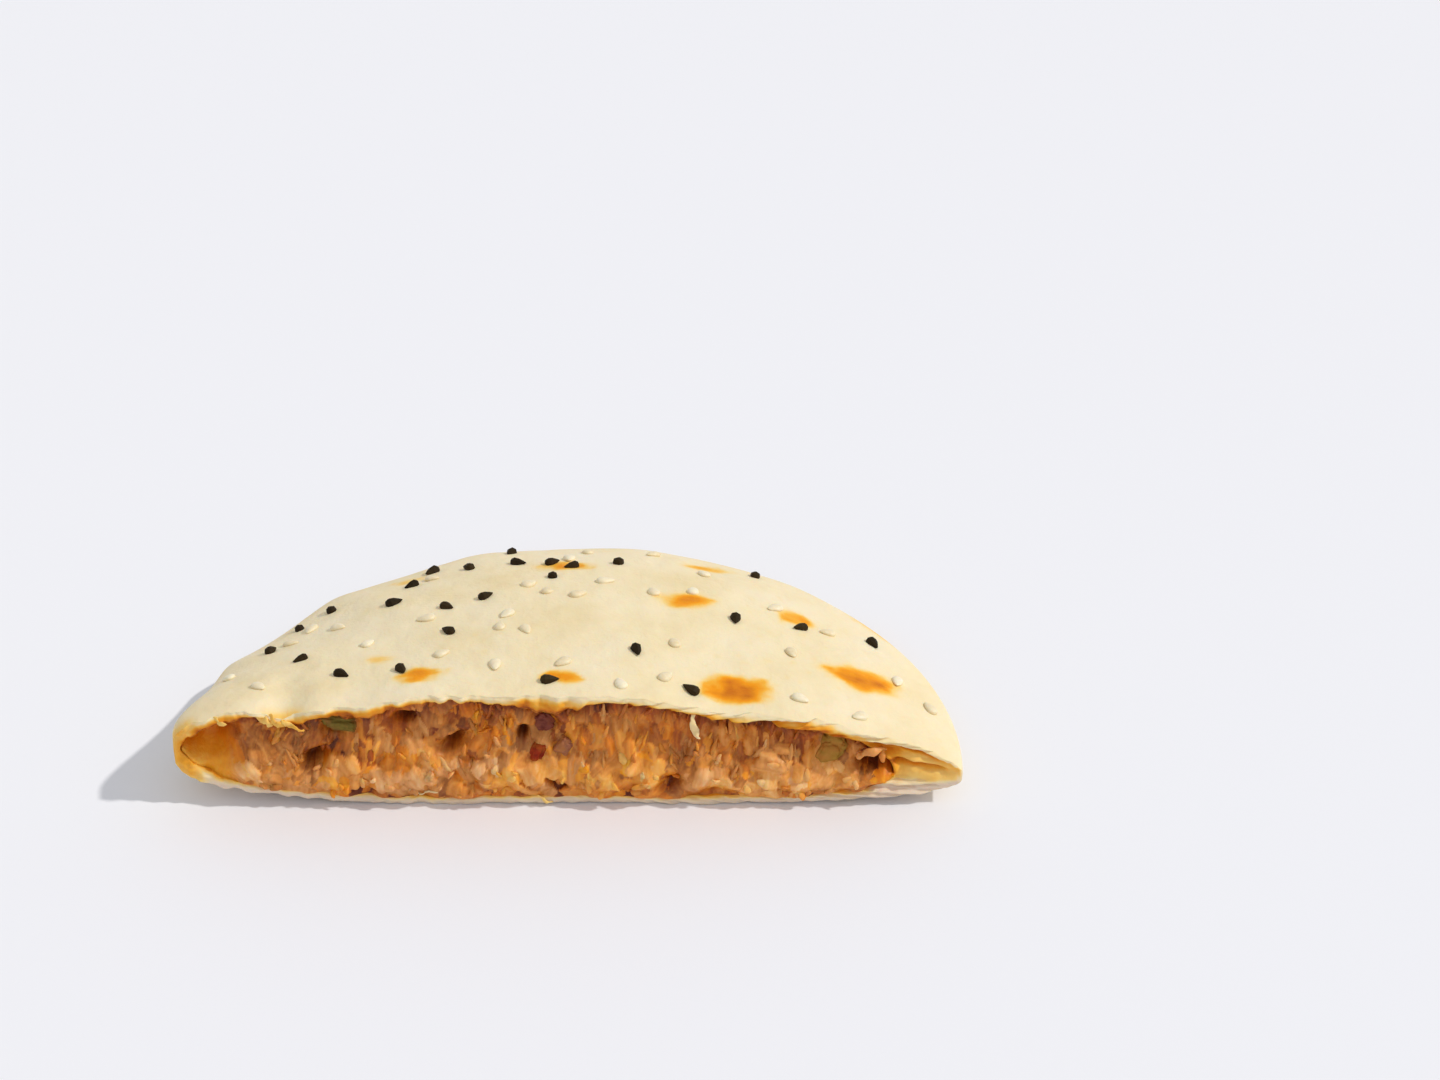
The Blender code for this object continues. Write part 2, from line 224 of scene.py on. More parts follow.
@dataclass(frozen=True)
class PastryForm:
    """Plan, skins, hollow and torn front of the half, by the rules of its solids."""

    cut_y: float = -0.0380
    centre_x: float = -0.005
    mean_radius: float = 0.0741
    right_reach: float = 0.0056
    back_bulge: float = 0.0037
    corner_pitch: float = math.radians(25)
    corner_start: float = math.radians(127)
    corner_size: float = 0.0011
    corner_rounding: float = 0.03
    corner_centre: float = math.radians(150)
    apex: float = 0.0250
    rim_heights: Triple = (0.0122, 0.0052, 0.0072)
    dome_powers: Triple = (0.32, 0.84, 0.74)
    end_focus: float = 26
    belly_power: float = 0.31
    belly_sink: float = 0.0008
    rest_spot: Pair = (-0.001, 0.028)
    rest_radius: float = 0.030
    rest_lobe_count: int = 3
    rest_lobe_share: float = 0.4
    rest_lift: float = 0.0004
    rest_fade: float = 0.0027
    sags: tuple[Swell, ...] = (
        Swell(-0.0525, 0.0042, 0.0023),
        Swell(-0.0405, 0.0085, 0.0017),
        Swell(0.0280, 0.0095, 0.0014),
    )
    sag_reach: float = 0.012
    skin_relief: float = 0.00045
    skin_relief_fade: float = 4
    skin_wave: Grain = Grain(1.0, (0.021, 0.021), 0.0)
    skin_crease: Grain = Grain(0.45, (0.0075, 0.0075), 0.0)
    top_dough: float = 0.0013
    bottom_dough: float = 0.0018
    walls: Triple = (0.0012, 0.0040, 0.0130)
    wall_focus: float = 3
    bluntness: float = 8
    cavity_edge: float = 0.0002
    lumps: tuple[Swell, ...] = (
        Swell(-0.043, 0.0085, 0.0008),
        Swell(-0.003, 0.0080, 0.0012),
        Swell(0.047, 0.0090, 0.0008),
    )
    lump_reach: float = 0.008
    tear: Grain = Grain(0.0009, (0.0065, 0.0065), 3.1)
    fray: Grain = Grain(0.0011, (0.0024, 0.0024), 8.4)
    bottom_lip: float = 0.0006
    clearance: float = 0.0003
    least_gap: float = 1e-6
    face_foot: float = -0.0010
    face_lean: float = 0.0030
    fibres: Grain = Grain(0.0009, (0.0021, 0.0090), 1.7)
    crags: Grain = Grain(0.0012, (0.0046, 0.0046), 0.0)
    curds: Grain = Grain(0.0007, (0.0024, 0.0024), 8.3)
    holes: tuple[Pit, ...] = (
        Pit(-0.0480, 0.0110, 0.0028, 0.0042),
        Pit(-0.0225, 0.0135, 0.0026, 0.0042),
        Pit(-0.0300, 0.0188, 0.0022, 0.0030),
        Pit(-0.0080, 0.0160, 0.0015, 0.0022),
        Pit(0.0195, 0.0050, 0.0022, 0.0024),
        Pit(0.0505, 0.0152, 0.0026, 0.0040),
        Pit(0.0566, 0.0092, 0.0028, 0.0026),
    )
    pocket_edge_x: float = -0.0590
    pocket_slope: float = 0.0080
    pocket_depth: float = 0.0050
    pocket_foot: float = 0.3
    pocket_steepness: float = 1.6

    def between_ends(self, angle: Array, focus: float, values: tuple) -> Array:
        """A value that runs from the left end over the back to the right end.

        Args:
            angle: Direction from the centre of the dome, 0 to the right.
            focus: How soon the value settles to that of the back.
            values: Its values at the left, the back and the right.

        Returns:
            The value in each direction.
        """
        turn = np.cos(angle)
        left = ((1 - turn) / 2) ** focus
        right = ((1 + turn) / 2) ** focus
        return values[1] + (values[0] - values[1]) * left + (values[2] - values[1]) * right

    def angle(self, x: Array, depth: Array) -> Array:
        """Direction of each place from the centre of the dome."""
        return np.arctan2(depth, x - self.centre_x)

    def outline(self, angle: Array) -> Array:
        """How far the folded edge lies from the centre of the dome.

        Args:
            angle: Directions from that centre, 0 to the right.

        Returns:
            The distance in each direction.
        """
        swing = np.sin(np.pi * (angle - self.corner_start) / self.corner_pitch)
        corner = 1 - 2 * np.sqrt(swing * swing + self.corner_rounding)
        fade = ((1 + np.cos(angle - self.corner_centre)) / 2) ** 2
        round_reach = self.mean_radius + self.right_reach * np.cos(angle)
        return round_reach + self.back_bulge * np.abs(np.sin(angle)) + self.corner_size * corner * fade

    def rim(self, angle: Array) -> Array:
        """Height at which the top and the under skin meet."""
        return self.between_ends(angle, self.end_focus, self.rim_heights)

    def wall(self, angle: Array) -> Array:
        """Width of the solid dough between the filling and the rim."""
        return self.between_ends(angle, self.wall_focus, self.walls)

    def inside(self, x: Array, depth: Array, wall: Array | float = 0.0) -> Array:
        """How far inside the outline less the wall each place lies: 1 at the centre, falling to 0."""
        reach = self.outline(self.angle(x, depth)) - wall
        return 1 - np.minimum(1.0, np.hypot(x - self.centre_x, depth) / reach) ** 2

    def top(self, x: Array, depth: Array) -> Array:
        """Height of the outer face of the top crust.

        Args:
            x: X of each place.
            depth: Depth of each place.

        Returns:
            The height at each place.
        """
        angle = self.angle(x, depth)
        inside = self.inside(x, depth)
        power = self.between_ends(angle, self.end_focus, self.dome_powers)
        dome = self.rim(angle) + (self.apex - self.rim(angle)) * inside**power
        sag = sum(swell.at(x) for swell in self.sags)
        waves = self.skin_wave.at(x, depth) + self.skin_crease.at(x, depth)
        relief = self.skin_relief * waves * np.minimum(1.0, self.skin_relief_fade * inside)
        return dome - sag * bell(np.maximum(depth, 0.0), self.sag_reach) + relief

    def under(self, x: Array, depth: Array) -> Array:
        """Height of the outer face of the under crust.

        Args:
            x: X of each place.
            depth: Depth of each place.

        Returns:
            The height at each place.
        """
        curl = self.rim(self.angle(x, depth)) * (1 - self.inside(x, depth) ** self.belly_power)
        across, back = x - self.rest_spot[0], depth - self.rest_spot[1]
        lobes = np.sin(self.rest_lobe_count * np.arctan2(back, across))
        edge = self.rest_radius * (1 - self.rest_lobe_share * lobes)
        beyond = np.maximum(0.0, np.hypot(across, back) - edge)
        lift = self.rest_lift * (1 - np.exp(-beyond / self.rest_fade))
        return np.maximum(0.0, curl - self.belly_sink) + lift

    def cavity(self, x: Array, depth: Array, inset: float) -> tuple[Array, Array]:
        """Lowest and highest point of the hollow in the dough.

        Args:
            x: X of each place.
            depth: Depth of each place.
            inset: How far the hollow is taken in on every side.

        Returns:
            The heights of its floor and of its ceiling.
        """
        angle = self.angle(x, depth)
        middle = self.rim(angle)
        inside = self.inside(x, depth, self.wall(angle) + inset)
        blunt = np.sqrt(1 - (1 - inside) ** self.bluntness)
        lumps = sum(swell.at(x) for swell in self.lumps)
        dough = self.top_dough + lumps * bell(np.maximum(depth, 0.0), self.lump_reach)
        above = self.top(x, depth) - dough - inset - middle
        below = middle - self.under(x, depth) - self.bottom_dough - inset
        floor = middle - np.maximum(self.cavity_edge, below * blunt)
        return floor, middle + np.maximum(self.cavity_edge, above * blunt)

    def lip(self, height: Array) -> Array:
        """How far the lower dough stands out beyond the plane of the cut."""
        return self.bottom_lip * (1 - smooth_step(2 * height / self.apex))

    def torn(self, x: Array, height: Array) -> Array:
        """Y of the dough's torn front."""
        return self.cut_y - self.lip(height) + (self.tear.at(x, height) + self.fray.at(x, height))

    def face_share(self, x: Array, height: Array) -> Array:
        """How far up the filling's face a place lies, from 0 to 1."""
        low, high = self.cavity(x, np.zeros_like(x), self.clearance)
        return (height - low) / np.maximum(high - low, self.least_gap)

    def face(self, x: Array, height: Array) -> Array:
        """Y of the filling's craggy front: fibres above, curds below, holes and the open pocket.

        Args:
            x: X of each place.
            height: Height of each place.

        Returns:
            Y at each place.
        """
        way_up = self.face_share(x, height)
        share = smooth_step(way_up)
        fibres = self.fibres.at(x, height) * share
        crags = self.crags.at(x, height) + self.curds.at(x, height)
        hollows = sum(pit.at(x, height) for pit in self.holes)
        bowl = self.pocket_foot + (1 - self.pocket_foot) * smooth_step(self.pocket_steepness * way_up)
        pocket = self.pocket_depth * bowl * smooth_step((self.pocket_edge_x - x) / self.pocket_slope)
        front = self.cut_y + self.face_foot + self.face_lean * share
        return front + fibres + crags + hollows + pocket

    def plan(self, columns: Array, rows: Array, wall: Callable[[Array], Array]) -> tuple[Array, Array]:
        """Places of a grid laid over the half disc.

        Args:
            columns: Positions from -1 to 1 along the cut.
            rows: Positions from 0 at the cut to 1 at the back.
            wall: How far inside the outline the grid ends in each direction.

        Returns:
            X and depth of each place, one row of the arrays for each row.
        """
        u, v = np.meshgrid(columns, rows)
        across = u * np.sqrt(1 - v * v / 2)
        back = v * np.sqrt(1 - u * u / 2)
        angle = np.arctan2(back, across)
        reach = (self.outline(angle) - wall(angle)) * np.hypot(across, back)
        return self.centre_x + reach * np.cos(angle), reach * np.sin(angle)


# Mesh helpers.


def link(obj: Object) -> Object:
    """Puts the object into the scene."""
    bpy.context.scene.collection.objects.link(obj)
    return obj


class MeshMaker:
    """Collects grids of faces and joins them into one closed, smooth mesh."""

    def __init__(self) -> None:
        """Starts with no points."""
        self.points: list[Array] = []
        self.values: dict[str, list[Array]] = {}
        self.faces: list[tuple[int, ...]] = []
        self.count = 0

    def add_grid(self, points: Array, values: dict[str, Array | float], loop: bool = False) -> None:
        """Adds a grid of points and the faces between them.

        Args:
            points: Places in rows and columns, last axis x, y, z.
            values: For each attribute's name, its value at each point or at all of them.
            loop: Whether the last column joins the first.
        """
        rows, columns = points.shape[:2]
        for name in sorted(values.keys() | self.values.keys()):
            known = self.values.setdefault(name, [np.zeros(self.count)] if self.count else [])
            known.append(np.broadcast_to(values.get(name, 0.0), (rows, columns)).ravel())
        index = self.count + np.arange(rows * columns).reshape(rows, columns)
        after = np.roll(index, -1, axis=1)
        width = columns if loop else columns - 1
        corners = [index[:-1, :width], after[:-1, :width], after[1:, :width], index[1:, :width]]
        self.faces.extend(map(tuple, np.stack(corners, axis=-1).reshape(-1, 4).tolist()))
        self.points.append(points.reshape(-1, 3))
        self.count += rows * columns

    def make(self, name: str, weld: float = 1e-7) -> Object:
        """Joins all that was collected.

        Args:
            name: Name of the object.
            weld: Points nearer to each other than this become one.

        Returns:
            The object, in the scene, with its faces turned outwards.
        """
        mesh = bpy.data.meshes.new(name)
        mesh.from_pydata(np.concatenate(self.points).tolist(), [], self.faces)
        for title, parts in self.values.items():
            layer = mesh.attributes.new(title, "FLOAT", "POINT")
            layer.data.foreach_set("value", np.concatenate(parts).astype(np.float32))
        bm = bmesh.new()
        bm.from_mesh(mesh)
        bmesh.ops.remove_doubles(bm, verts=bm.verts, dist=weld)
        bmesh.ops.dissolve_degenerate(bm, edges=bm.edges, dist=weld)
        bmesh.ops.recalc_face_normals(bm, faces=bm.faces)
        for face in bm.faces:
            face.smooth = True
        bm.to_mesh(mesh)
        bm.free()
        return link(bpy.data.objects.new(name, mesh))


@dataclass(frozen=True)
class Texture:
    """A noise texture."""

    scale: float
    detail: float = 2.0
    roughness: float = 0.5


@dataclass(frozen=True)
class Bump:
    """Fine relief that only shows in the shading."""

    strength: float
    distance: float


@dataclass(frozen=True)
class Sheen:
    """How the roughness of a finish varies."""

    dip: float
    spread: float


class Graph:
    """Adds nodes to a shader or geometry tree and links them."""

    mix_colours = (6, 7)
    mix_output = 2

    def __init__(self, tree: NodeTree) -> None:
        """Works on the tree."""
        self.tree = tree

    def feed(self, node: Node, title: str | int, value: object) -> None:
        """Links a socket to an input, or writes a value into it.

        Args:
            node: The node that is fed.
            title: The input's name or number.
            value: The socket or the value.
        """
        if isinstance(value, NodeSocket):
            self.tree.links.new(value, node.inputs[title])
        else:
            node.inputs[title].default_value = value

    def node(self, kind: str, inputs: dict | None = None, **settings: object) -> Node:
        """Adds a node.

        Args:
            kind: Blender's name of the node type.
            inputs: For each input's name or number, the socket it is linked to or its value.
            settings: The node's own properties.

        Returns:
            The node.
        """
        made = self.tree.nodes.new(kind)
        for title, value in settings.items():
            setattr(made, title, value)
        for title, value in (inputs or {}).items():
            self.feed(made, title, value)
        return made

    def out(self, kind: str, inputs: dict | None = None, **settings: object) -> NodeSocket:
        """Adds a node as node does, and gives its first output."""
        return self.node(kind, inputs, **settings).outputs[0]

    def math(self, operation: str, first: object, second: object = 0.0, third: object = 0.0) -> object:
        """The output of a Math node on up to three sockets or numbers."""
        return self.out("ShaderNodeMath", {0: first, 1: second, 2: third}, operation=operation)

    def times(self, first: object, second: object) -> object:
        """The product of two sockets or numbers."""
        return self.math("MULTIPLY", first, second)

    def spot(self) -> object:
        """The Object coordinates of each shaded point."""
        return self.node("ShaderNodeTexCoord").outputs["Object"]

    def value(self, name: str) -> object:
        """The mesh's own attribute of this name."""
        return self.node("ShaderNodeAttribute", attribute_name=name).outputs["Fac"]

    def noise(self, place: object, texture: Texture) -> object:
        """The value of a noise texture at a place."""
        values = {"Scale": texture.scale, "Detail": texture.detail, "Roughness": texture.roughness}
        return self.out("ShaderNodeTexNoise", {"Vector": place} | values)

    def emboss(self, shader: Node, height: object, bump: Bump) -> None:
        """Gives the shader the relief of a height."""
        values = {"Height": height, "Strength": bump.strength, "Distance": bump.distance}
        self.feed(shader, "Normal", self.out("ShaderNodeBump", values))

    def ramp(self, factor: object, stops: Stops) -> object:
        """A ramp of colours.

        Args:
            factor: The socket that drives it.
            stops: Place and colour of each stop.

        Returns:
            Its colour output.
        """
        made = self.node("ShaderNodeValToRGB", {"Fac": factor})
        elements = made.color_ramp.elements
        while len(elements) < len(stops):
            elements.new(0.5)
        for element, (place, colour) in zip(elements, stops):
            element.position = place
            element.color = (*colour, 1.0)
        return made.outputs["Color"]

    def mix(self, factor: object, first: object, second: object) -> object:
        """A blend of two colours.

        Args:
            factor: The socket or number that says how much of the second shows.
            first: A colour or a colour socket.
            second: A colour or a colour socket.

        Returns:
            The colour output.
        """
        made = self.node("ShaderNodeMix", {"Factor": factor}, data_type="RGBA", blend_type="MIX")
        for number, value in zip(self.mix_colours, (first, second)):
            self.feed(made, number, value if isinstance(value, NodeSocket) else (*value, 1.0))
        return made.outputs[self.mix_output]


# Finishes.


@dataclass(frozen=True)
class Surface:
    """What the shader is like all over a finish."""

    roughness: float
    scatter: float = 0.0
    scatter_radius: Colour = (1.0, 0.5, 0.25)
    scatter_scale: float = 0.001
    specular: float = 0.5
    coat: float = 0.0
    coat_roughness: float = 0.2

    def shader(self, name: str) -> tuple[Material, Graph, Node]:
        """Makes a material with these values.

        Args:
            name: The material's name.

        Returns:
            The material, its graph and its shader node.
        """
        material = bpy.data.materials.new(name)
        material.use_nodes = True
        shader = material.node_tree.nodes["Principled BSDF"]
        values = {
            "Roughness": self.roughness,
            "Specular IOR Level": self.specular,
            "Subsurface Weight": self.scatter,
            "Subsurface Radius": self.scatter_radius,
            "Subsurface Scale": self.scatter_scale,
            "Coat Weight": self.coat,
            "Coat Roughness": self.coat_roughness,
        }
        for title, value in values.items():
            shader.inputs[title].default_value = value
        return material, Graph(material.node_tree), shader


@dataclass(frozen=True)
class DoughFinish:
    """Pale baked dough: cream, toasted where "toast" rises and soaked with sauce where "stain" does."""

    surface: Surface = Surface(0.68, 0.22, (1.0, 0.55, 0.25), 0.0014, 0.22)
    cream: Stops = ((0.25, (0.83, 0.67, 0.38)), (0.50, (0.89, 0.75, 0.485)), (0.75, (0.91, 0.79, 0.565)))
    toasts: Stops = (
        (0.0, (0.88, 0.74, 0.42)),
        (0.25, (0.95, 0.57, 0.08)),
        (0.55, (0.90, 0.32, 0.002)),
        (1.0, (0.60, 0.16, 0.002)),
    )
    stains: Stops = (
        (0.0, (0.90, 0.74, 0.42)),
        (0.25, (0.93, 0.60, 0.17)),
        (0.50, (0.88, 0.39, 0.026)),
        (0.75, (0.68, 0.20, 0.005)),
        (1.0, (0.34, 0.075, 0.003)),
    )
    flour: Colour = (0.80, 0.64, 0.49)
    patches: Texture = Texture(55.0, 5.0, 0.6)
    wrinkles: Texture = Texture(420.0, 3.0, 0.6)
    pores: Texture = Texture(1300.0)
    unevenness: float = 0.5
    toast_cover: float = 2.6
    stain_cover: float = 4.0
    wet_gloss: float = 0.25
    sheen: Sheen = Sheen(0.05, 0.12)
    pore_height: float = 0.35
    bump: Bump = Bump(0.4, 0.00045)

    def material(self) -> Material:
        """Builds the material.

        Returns:
            The material.
        """
        material, graph, shader = self.surface.shader("baked dough")
        place = graph.spot()
        patches = graph.noise(place, self.patches)
        mottle = graph.noise(place, self.wrinkles)
        pores = graph.noise(place, self.pores)
        toast, stain, flour = (graph.value(name) for name in ("toast", "stain", "flour"))
        uneven = graph.math("MULTIPLY_ADD", mottle, self.unevenness, 1 - self.unevenness / 2)
        toasted = graph.times(toast, uneven)
        soaked = graph.times(stain, uneven)
        base = graph.mix(flour, graph.ramp(patches, self.cream), self.flour)
        for amount, cover, stops in (
            (toasted, self.toast_cover, self.toasts),
            (soaked, self.stain_cover, self.stains),
        ):
            share = graph.out("ShaderNodeClamp", {"Value": graph.times(amount, cover)})
            base = graph.mix(share, base, graph.ramp(amount, stops))
        graph.feed(shader, "Base Color", base)
        smoothest = self.surface.roughness - self.sheen.dip
        wet = graph.math("MULTIPLY_ADD", stain, -self.wet_gloss, smoothest)
        graph.feed(shader, "Roughness", graph.math("MULTIPLY_ADD", mottle, self.sheen.spread, wet))
        height = graph.math("MULTIPLY_ADD", pores, self.pore_height, mottle)
        graph.emboss(shader, height, self.bump)
        return material


@dataclass(frozen=True)
class SeedFinish:
    """The coat of a kind of seed, with a slight change of tone from seed to seed."""

    name: str
    dark: Colour
    light: Colour
    surface: Surface
    pits: Texture = Texture(1500.0)
    seed_share: float = 0.6
    pit_share: float = 0.8
    floor: float = -0.2
    bump: Bump = Bump(0.4, 0.0001)

    def material(self) -> Material:
        """Builds the material.

        Returns:
            The material.
        """
        material, graph, shader = self.surface.shader(self.name)
        place = graph.spot()
        tone = graph.value("shade")
        pits = graph.noise(place, self.pits)
        pitted = graph.math("MULTIPLY_ADD", pits, self.pit_share, self.floor)
        blend = graph.math("MULTIPLY_ADD", tone, self.seed_share, pitted)
        graph.feed(shader, "Base Color", graph.ramp(blend, ((0.0, self.dark), (1.0, self.light))))
        graph.emboss(shader, pits, self.bump)
        return material


@dataclass(frozen=True)
class TunaFinish:
    """Moist shredded tuna: "shade" runs from dark hollows to pale flakes, with painted shade in the hollows
    and gaps, "sauce" from meat to sauce.
    """

    surface: Surface = Surface(0.46, 0.40, (1.0, 0.42, 0.15), 0.0012, 0.28, 0.06, 0.30)
    meats: Stops = (
        (0.0, (0.11, 0.016, 0.001)),
        (0.25, (0.30, 0.084, 0.011)),
        (0.50, (0.54, 0.208, 0.042)),
        (0.75, (0.80, 0.374, 0.122)),
        (1.0, (0.95, 0.61, 0.31)),
    )
    sauces: Stops = (
        (0.0, (0.14, 0.018, 0.001)),
        (0.25, (0.44, 0.090, 0.002)),
        (0.50, (0.75, 0.215, 0.002)),
        (0.75, (0.92, 0.37, 0.012)),
        (1.0, (0.98, 0.57, 0.10)),
    )
    fibres: Texture = Texture(800.0, 3.0, 0.6)
    fibre_stretch: Triple = (1.0, 1.0, 0.28)
    fibre_tone: float = 0.32
    crumbs: Texture = Texture(1700.0)
    crumb_height: float = 0.5
    sheen: Sheen = Sheen(0.15, 0.3)
    bump: Bump = Bump(0.6, 0.00035)

    def material(self) -> Material:
        """Builds the material.

        Returns:
            The material.
        """
        material, graph, shader = self.surface.shader("shredded tuna")
        place = graph.spot()
        shade, sauce = graph.value("shade"), graph.value("sauce")
        stretched = graph.out("ShaderNodeMapping", {"Vector": place, "Scale": self.fibre_stretch})
        fibres = graph.noise(stretched, self.fibres)
        streaks = graph.math("MULTIPLY_ADD", fibres, self.fibre_tone, -self.fibre_tone / 2)
        tone = graph.math("ADD", shade, streaks)
        base = graph.mix(sauce, graph.ramp(tone, self.meats), graph.ramp(tone, self.sauces))
        graph.feed(shader, "Base Color", base)
        smoothest = self.surface.roughness - self.sheen.dip
        graph.feed(shader, "Roughness", graph.math("MULTIPLY_ADD", fibres, self.sheen.spread, smoothest))
        crumbs = graph.noise(place, self.crumbs)
        graph.emboss(shader, graph.math("MULTIPLY_ADD", crumbs, self.crumb_height, fibres), self.bump)
        return material


class Vegetable(Enum):
    """The kinds of vegetable, each with its material slot."""

    GREEN_PEPPER = "green_pepper"
    ONION = "onion"
    RED_PEPPER = "red_pepper"


@dataclass(frozen=True)
class VegetableFinish:
    """A moist cooked piece of vegetable: streaked, and stained with sauce in places."""

    name: str
    kind: Vegetable
    dark: Colour
    light: Colour
    sauce: Colour
    surface: Surface = Surface(0.55, 0.20, (1.0, 0.5, 0.25), 0.0010, 0.12)
    streaks: Texture = Texture(600.0, 3.0, 0.6)
    streak_ends: Pair = (0.3, 0.7)
    stains: Texture = Texture(420.0)
    stain_ends: Pair = (0.44, 0.64)
    stain_cover: float = 0.85
    bump: Bump = Bump(0.3, 0.0002)

    def material(self) -> Material:
        """Builds the material.

        Returns:
            The material.
        """
        material, graph, shader = self.surface.shader(self.name)
        place = graph.spot()
        streaks = graph.noise(place, self.streaks)
        stains = graph.noise(place, self.stains)
        base = graph.ramp(streaks, tuple(zip(self.streak_ends, (self.dark, self.light))))
        start, full = self.stain_ends
        limits = {"From Min": start, "From Max": full, "To Max": self.stain_cover}
        share = graph.out("ShaderNodeMapRange", {"Value": stains} | limits)
        graph.feed(shader, "Base Color", graph.mix(share, base, self.sauce))
        graph.emboss(shader, streaks, self.bump)
        return material


# Growing many small things on points with Geometry Nodes.


@dataclass(frozen=True)
class Sprout:
    """A small oval body that a geometry tree sets on every point of a mesh.

    Attributes:
        sides: Faces round the body and from tip to tip.
        sizes: Length, width and thickness of a body of size 1.
        bend: How far its ends drop below its middle.
        roughen: How far noise moves each point of the finished bodies.
    """

    sides: tuple[int, int]
    sizes: Triple
    taper: float = 0.0
    bend: float = 0.0
    smooth: bool = True
    roughen: float = 0.0
    roughen_size: float = 0.001

    def inputs(self) -> dict[str, float]:
        """Name and value of each number that the tree is given."""
        titles = ("Length", "Width", "Thickness", "Taper", "Bend", "Roughen")
        return dict(zip(titles, (*self.sizes, self.taper, self.bend, self.roughen)))

    def tree(self, name: str, material: Material) -> NodeTree:
        """Builds the tree.

        Args:
            name: The tree's name.
            material: Given to all bodies.

        Returns:
            A tree with the inputs Geometry, Length, Width, Thickness, Taper, Bend and Roughen.
        """
        tree = bpy.data.node_groups.new(name, "GeometryNodeTree")
        tree.interface.new_socket("Geometry", in_out="INPUT", socket_type="NodeSocketGeometry")
        for title in self.inputs():
            tree.interface.new_socket(title, in_out="INPUT", socket_type="NodeSocketFloat")
        tree.interface.new_socket("Geometry", in_out="OUTPUT", socket_type="NodeSocketGeometry")
        graph = Graph(tree)
        given = graph.node("NodeGroupInput").outputs
        body = self.body(graph, given)
        turn, size = (
            graph.out("GeometryNodeInputNamedAttribute", {"Name": title}, data_type="FLOAT_VECTOR")
            for title in ("turn", "size")
        )
        turned = graph.out("FunctionNodeEulerToRotation", {0: turn})
        placed = graph.out(
            "GeometryNodeInstanceOnPoints",
            {"Points": given["Geometry"], "Instance": body, "Rotation": turned, "Scale": size},
        )
        real = graph.out("GeometryNodeRealizeInstances", {"Geometry": placed})
        shift = self.shift(graph, given["Roughen"])
        rough = graph.out("GeometryNodeSetPosition", {"Geometry": real, "Offset": shift})
        shaded = graph.out("GeometryNodeSetShadeSmooth", {"Geometry": rough, "Shade Smooth": self.smooth})
        dressed = graph.out("GeometryNodeSetMaterial", {"Geometry": shaded, "Material": material})
        graph.node("NodeGroupOutput", {0: dressed})
        return tree

    def body(self, graph: Graph, given: object) -> object:
        """Adds the nodes of one body.

        Args:
            graph: The tree's graph.
            given: The sockets of the tree's inputs.

        Returns:
            The body's geometry, its length along X.
        """
        segments, rings = self.sides
        ball = graph.out("GeometryNodeMeshUVSphere", {"Segments": segments, "Rings": rings, "Radius": 0.5})
        spot = graph.node("ShaderNodeSeparateXYZ", {0: graph.out("GeometryNodeInputPosition")})
        through, across, along = spot.outputs
        narrow = graph.math("SUBTRACT", 1.0, graph.times(given["Taper"], along))
        width = graph.times(graph.times(across, given["Width"]), narrow)
        thick = graph.times(graph.times(through, given["Thickness"]), narrow)
        arch = graph.times(given["Bend"], graph.times(along, along))
        length = graph.times(along, given["Length"])
        rise = graph.math("SUBTRACT", thick, arch)
        shaped = graph.out("ShaderNodeCombineXYZ", {0: length, 1: width, 2: rise})
        oval = graph.out("GeometryNodeSetPosition", {"Geometry": ball, "Position": shaped})
        # The ball's long axis was laid along X by a swap of axes, which turned it inside out.
        return graph.out("GeometryNodeFlipFaces", {"Mesh": oval})

    def shift(self, graph: Graph, reach: object) -> object:
        """Adds the nodes of the noise that moves each point.

        Args:
            graph: The tree's graph.
            reach: Socket of how far it moves them.

        Returns:
            The offset of each point.
        """
        where = graph.out("GeometryNodeInputPosition")
        texture = graph.node("ShaderNodeTexNoise", {"Vector": where, "Scale": 1 / self.roughen_size})
        values = {0: texture.outputs["Color"], 1: (0.5, 0.5, 0.5)}
        centred = graph.out("ShaderNodeVectorMath", values, operation="SUBTRACT")
        return graph.out("ShaderNodeVectorMath", {0: centred, "Scale": reach}, operation="SCALE")

    def grow(self, name: str, material: Material, points: dict[str, Array]) -> Object:
        """Sets a body on each point and makes the result a plain mesh.

        Args:
            name: Name of the finished object.
            material: Given to all bodies.
            points: Arrays "place", "turn" and "size" of three numbers a point, and others of one number.

        Returns:
            The finished object.
        """
        mesh = bpy.data.meshes.new(name)
        mesh.from_pydata(points["place"].tolist(), [], [])
        for title, values in points.items():
            if title == "place":
                continue
            kind, slot = ("FLOAT", "value") if values.ndim == 1 else ("FLOAT_VECTOR", "vector")
            layer = mesh.attributes.new(title, kind, "POINT")
            layer.data.foreach_set(slot, values.astype(np.float32).ravel())
        carrier = link(bpy.data.objects.new(f"{name} points", mesh))
        modifier = carrier.modifiers.new("grow", "NODES")
        modifier.node_group = self.tree(f"{name} tree", material)
        values = self.inputs()
        for item in modifier.node_group.interface.items_tree:
            if item.in_out == "INPUT" and item.name in values:
                modifier[item.identifier] = values[item.name]
        bpy.context.view_layer.update()
        evaluated = carrier.evaluated_get(bpy.context.evaluated_depsgraph_get())
        grown = bpy.data.meshes.new_from_object(evaluated)
        carrier.modifiers.remove(modifier)
        bpy.data.objects.remove(carrier, do_unlink=True)
        grown.name = name
        grown.materials.clear()
        grown.materials.append(material)
        return link(bpy.data.objects.new(name, grown))


# The crust and what lies on it.


@dataclass(frozen=True)
class Lip:
    """A stretch of the torn top edge where sauce-soaked dough shows."""

    x: float
    reach: float
    hang: float
    soak: float

    def share(self, x: Array) -> Array:
        """1 along the lip, falling to 0 past its ends."""
        return np.exp(-(((x - self.x) / self.reach) ** 4))


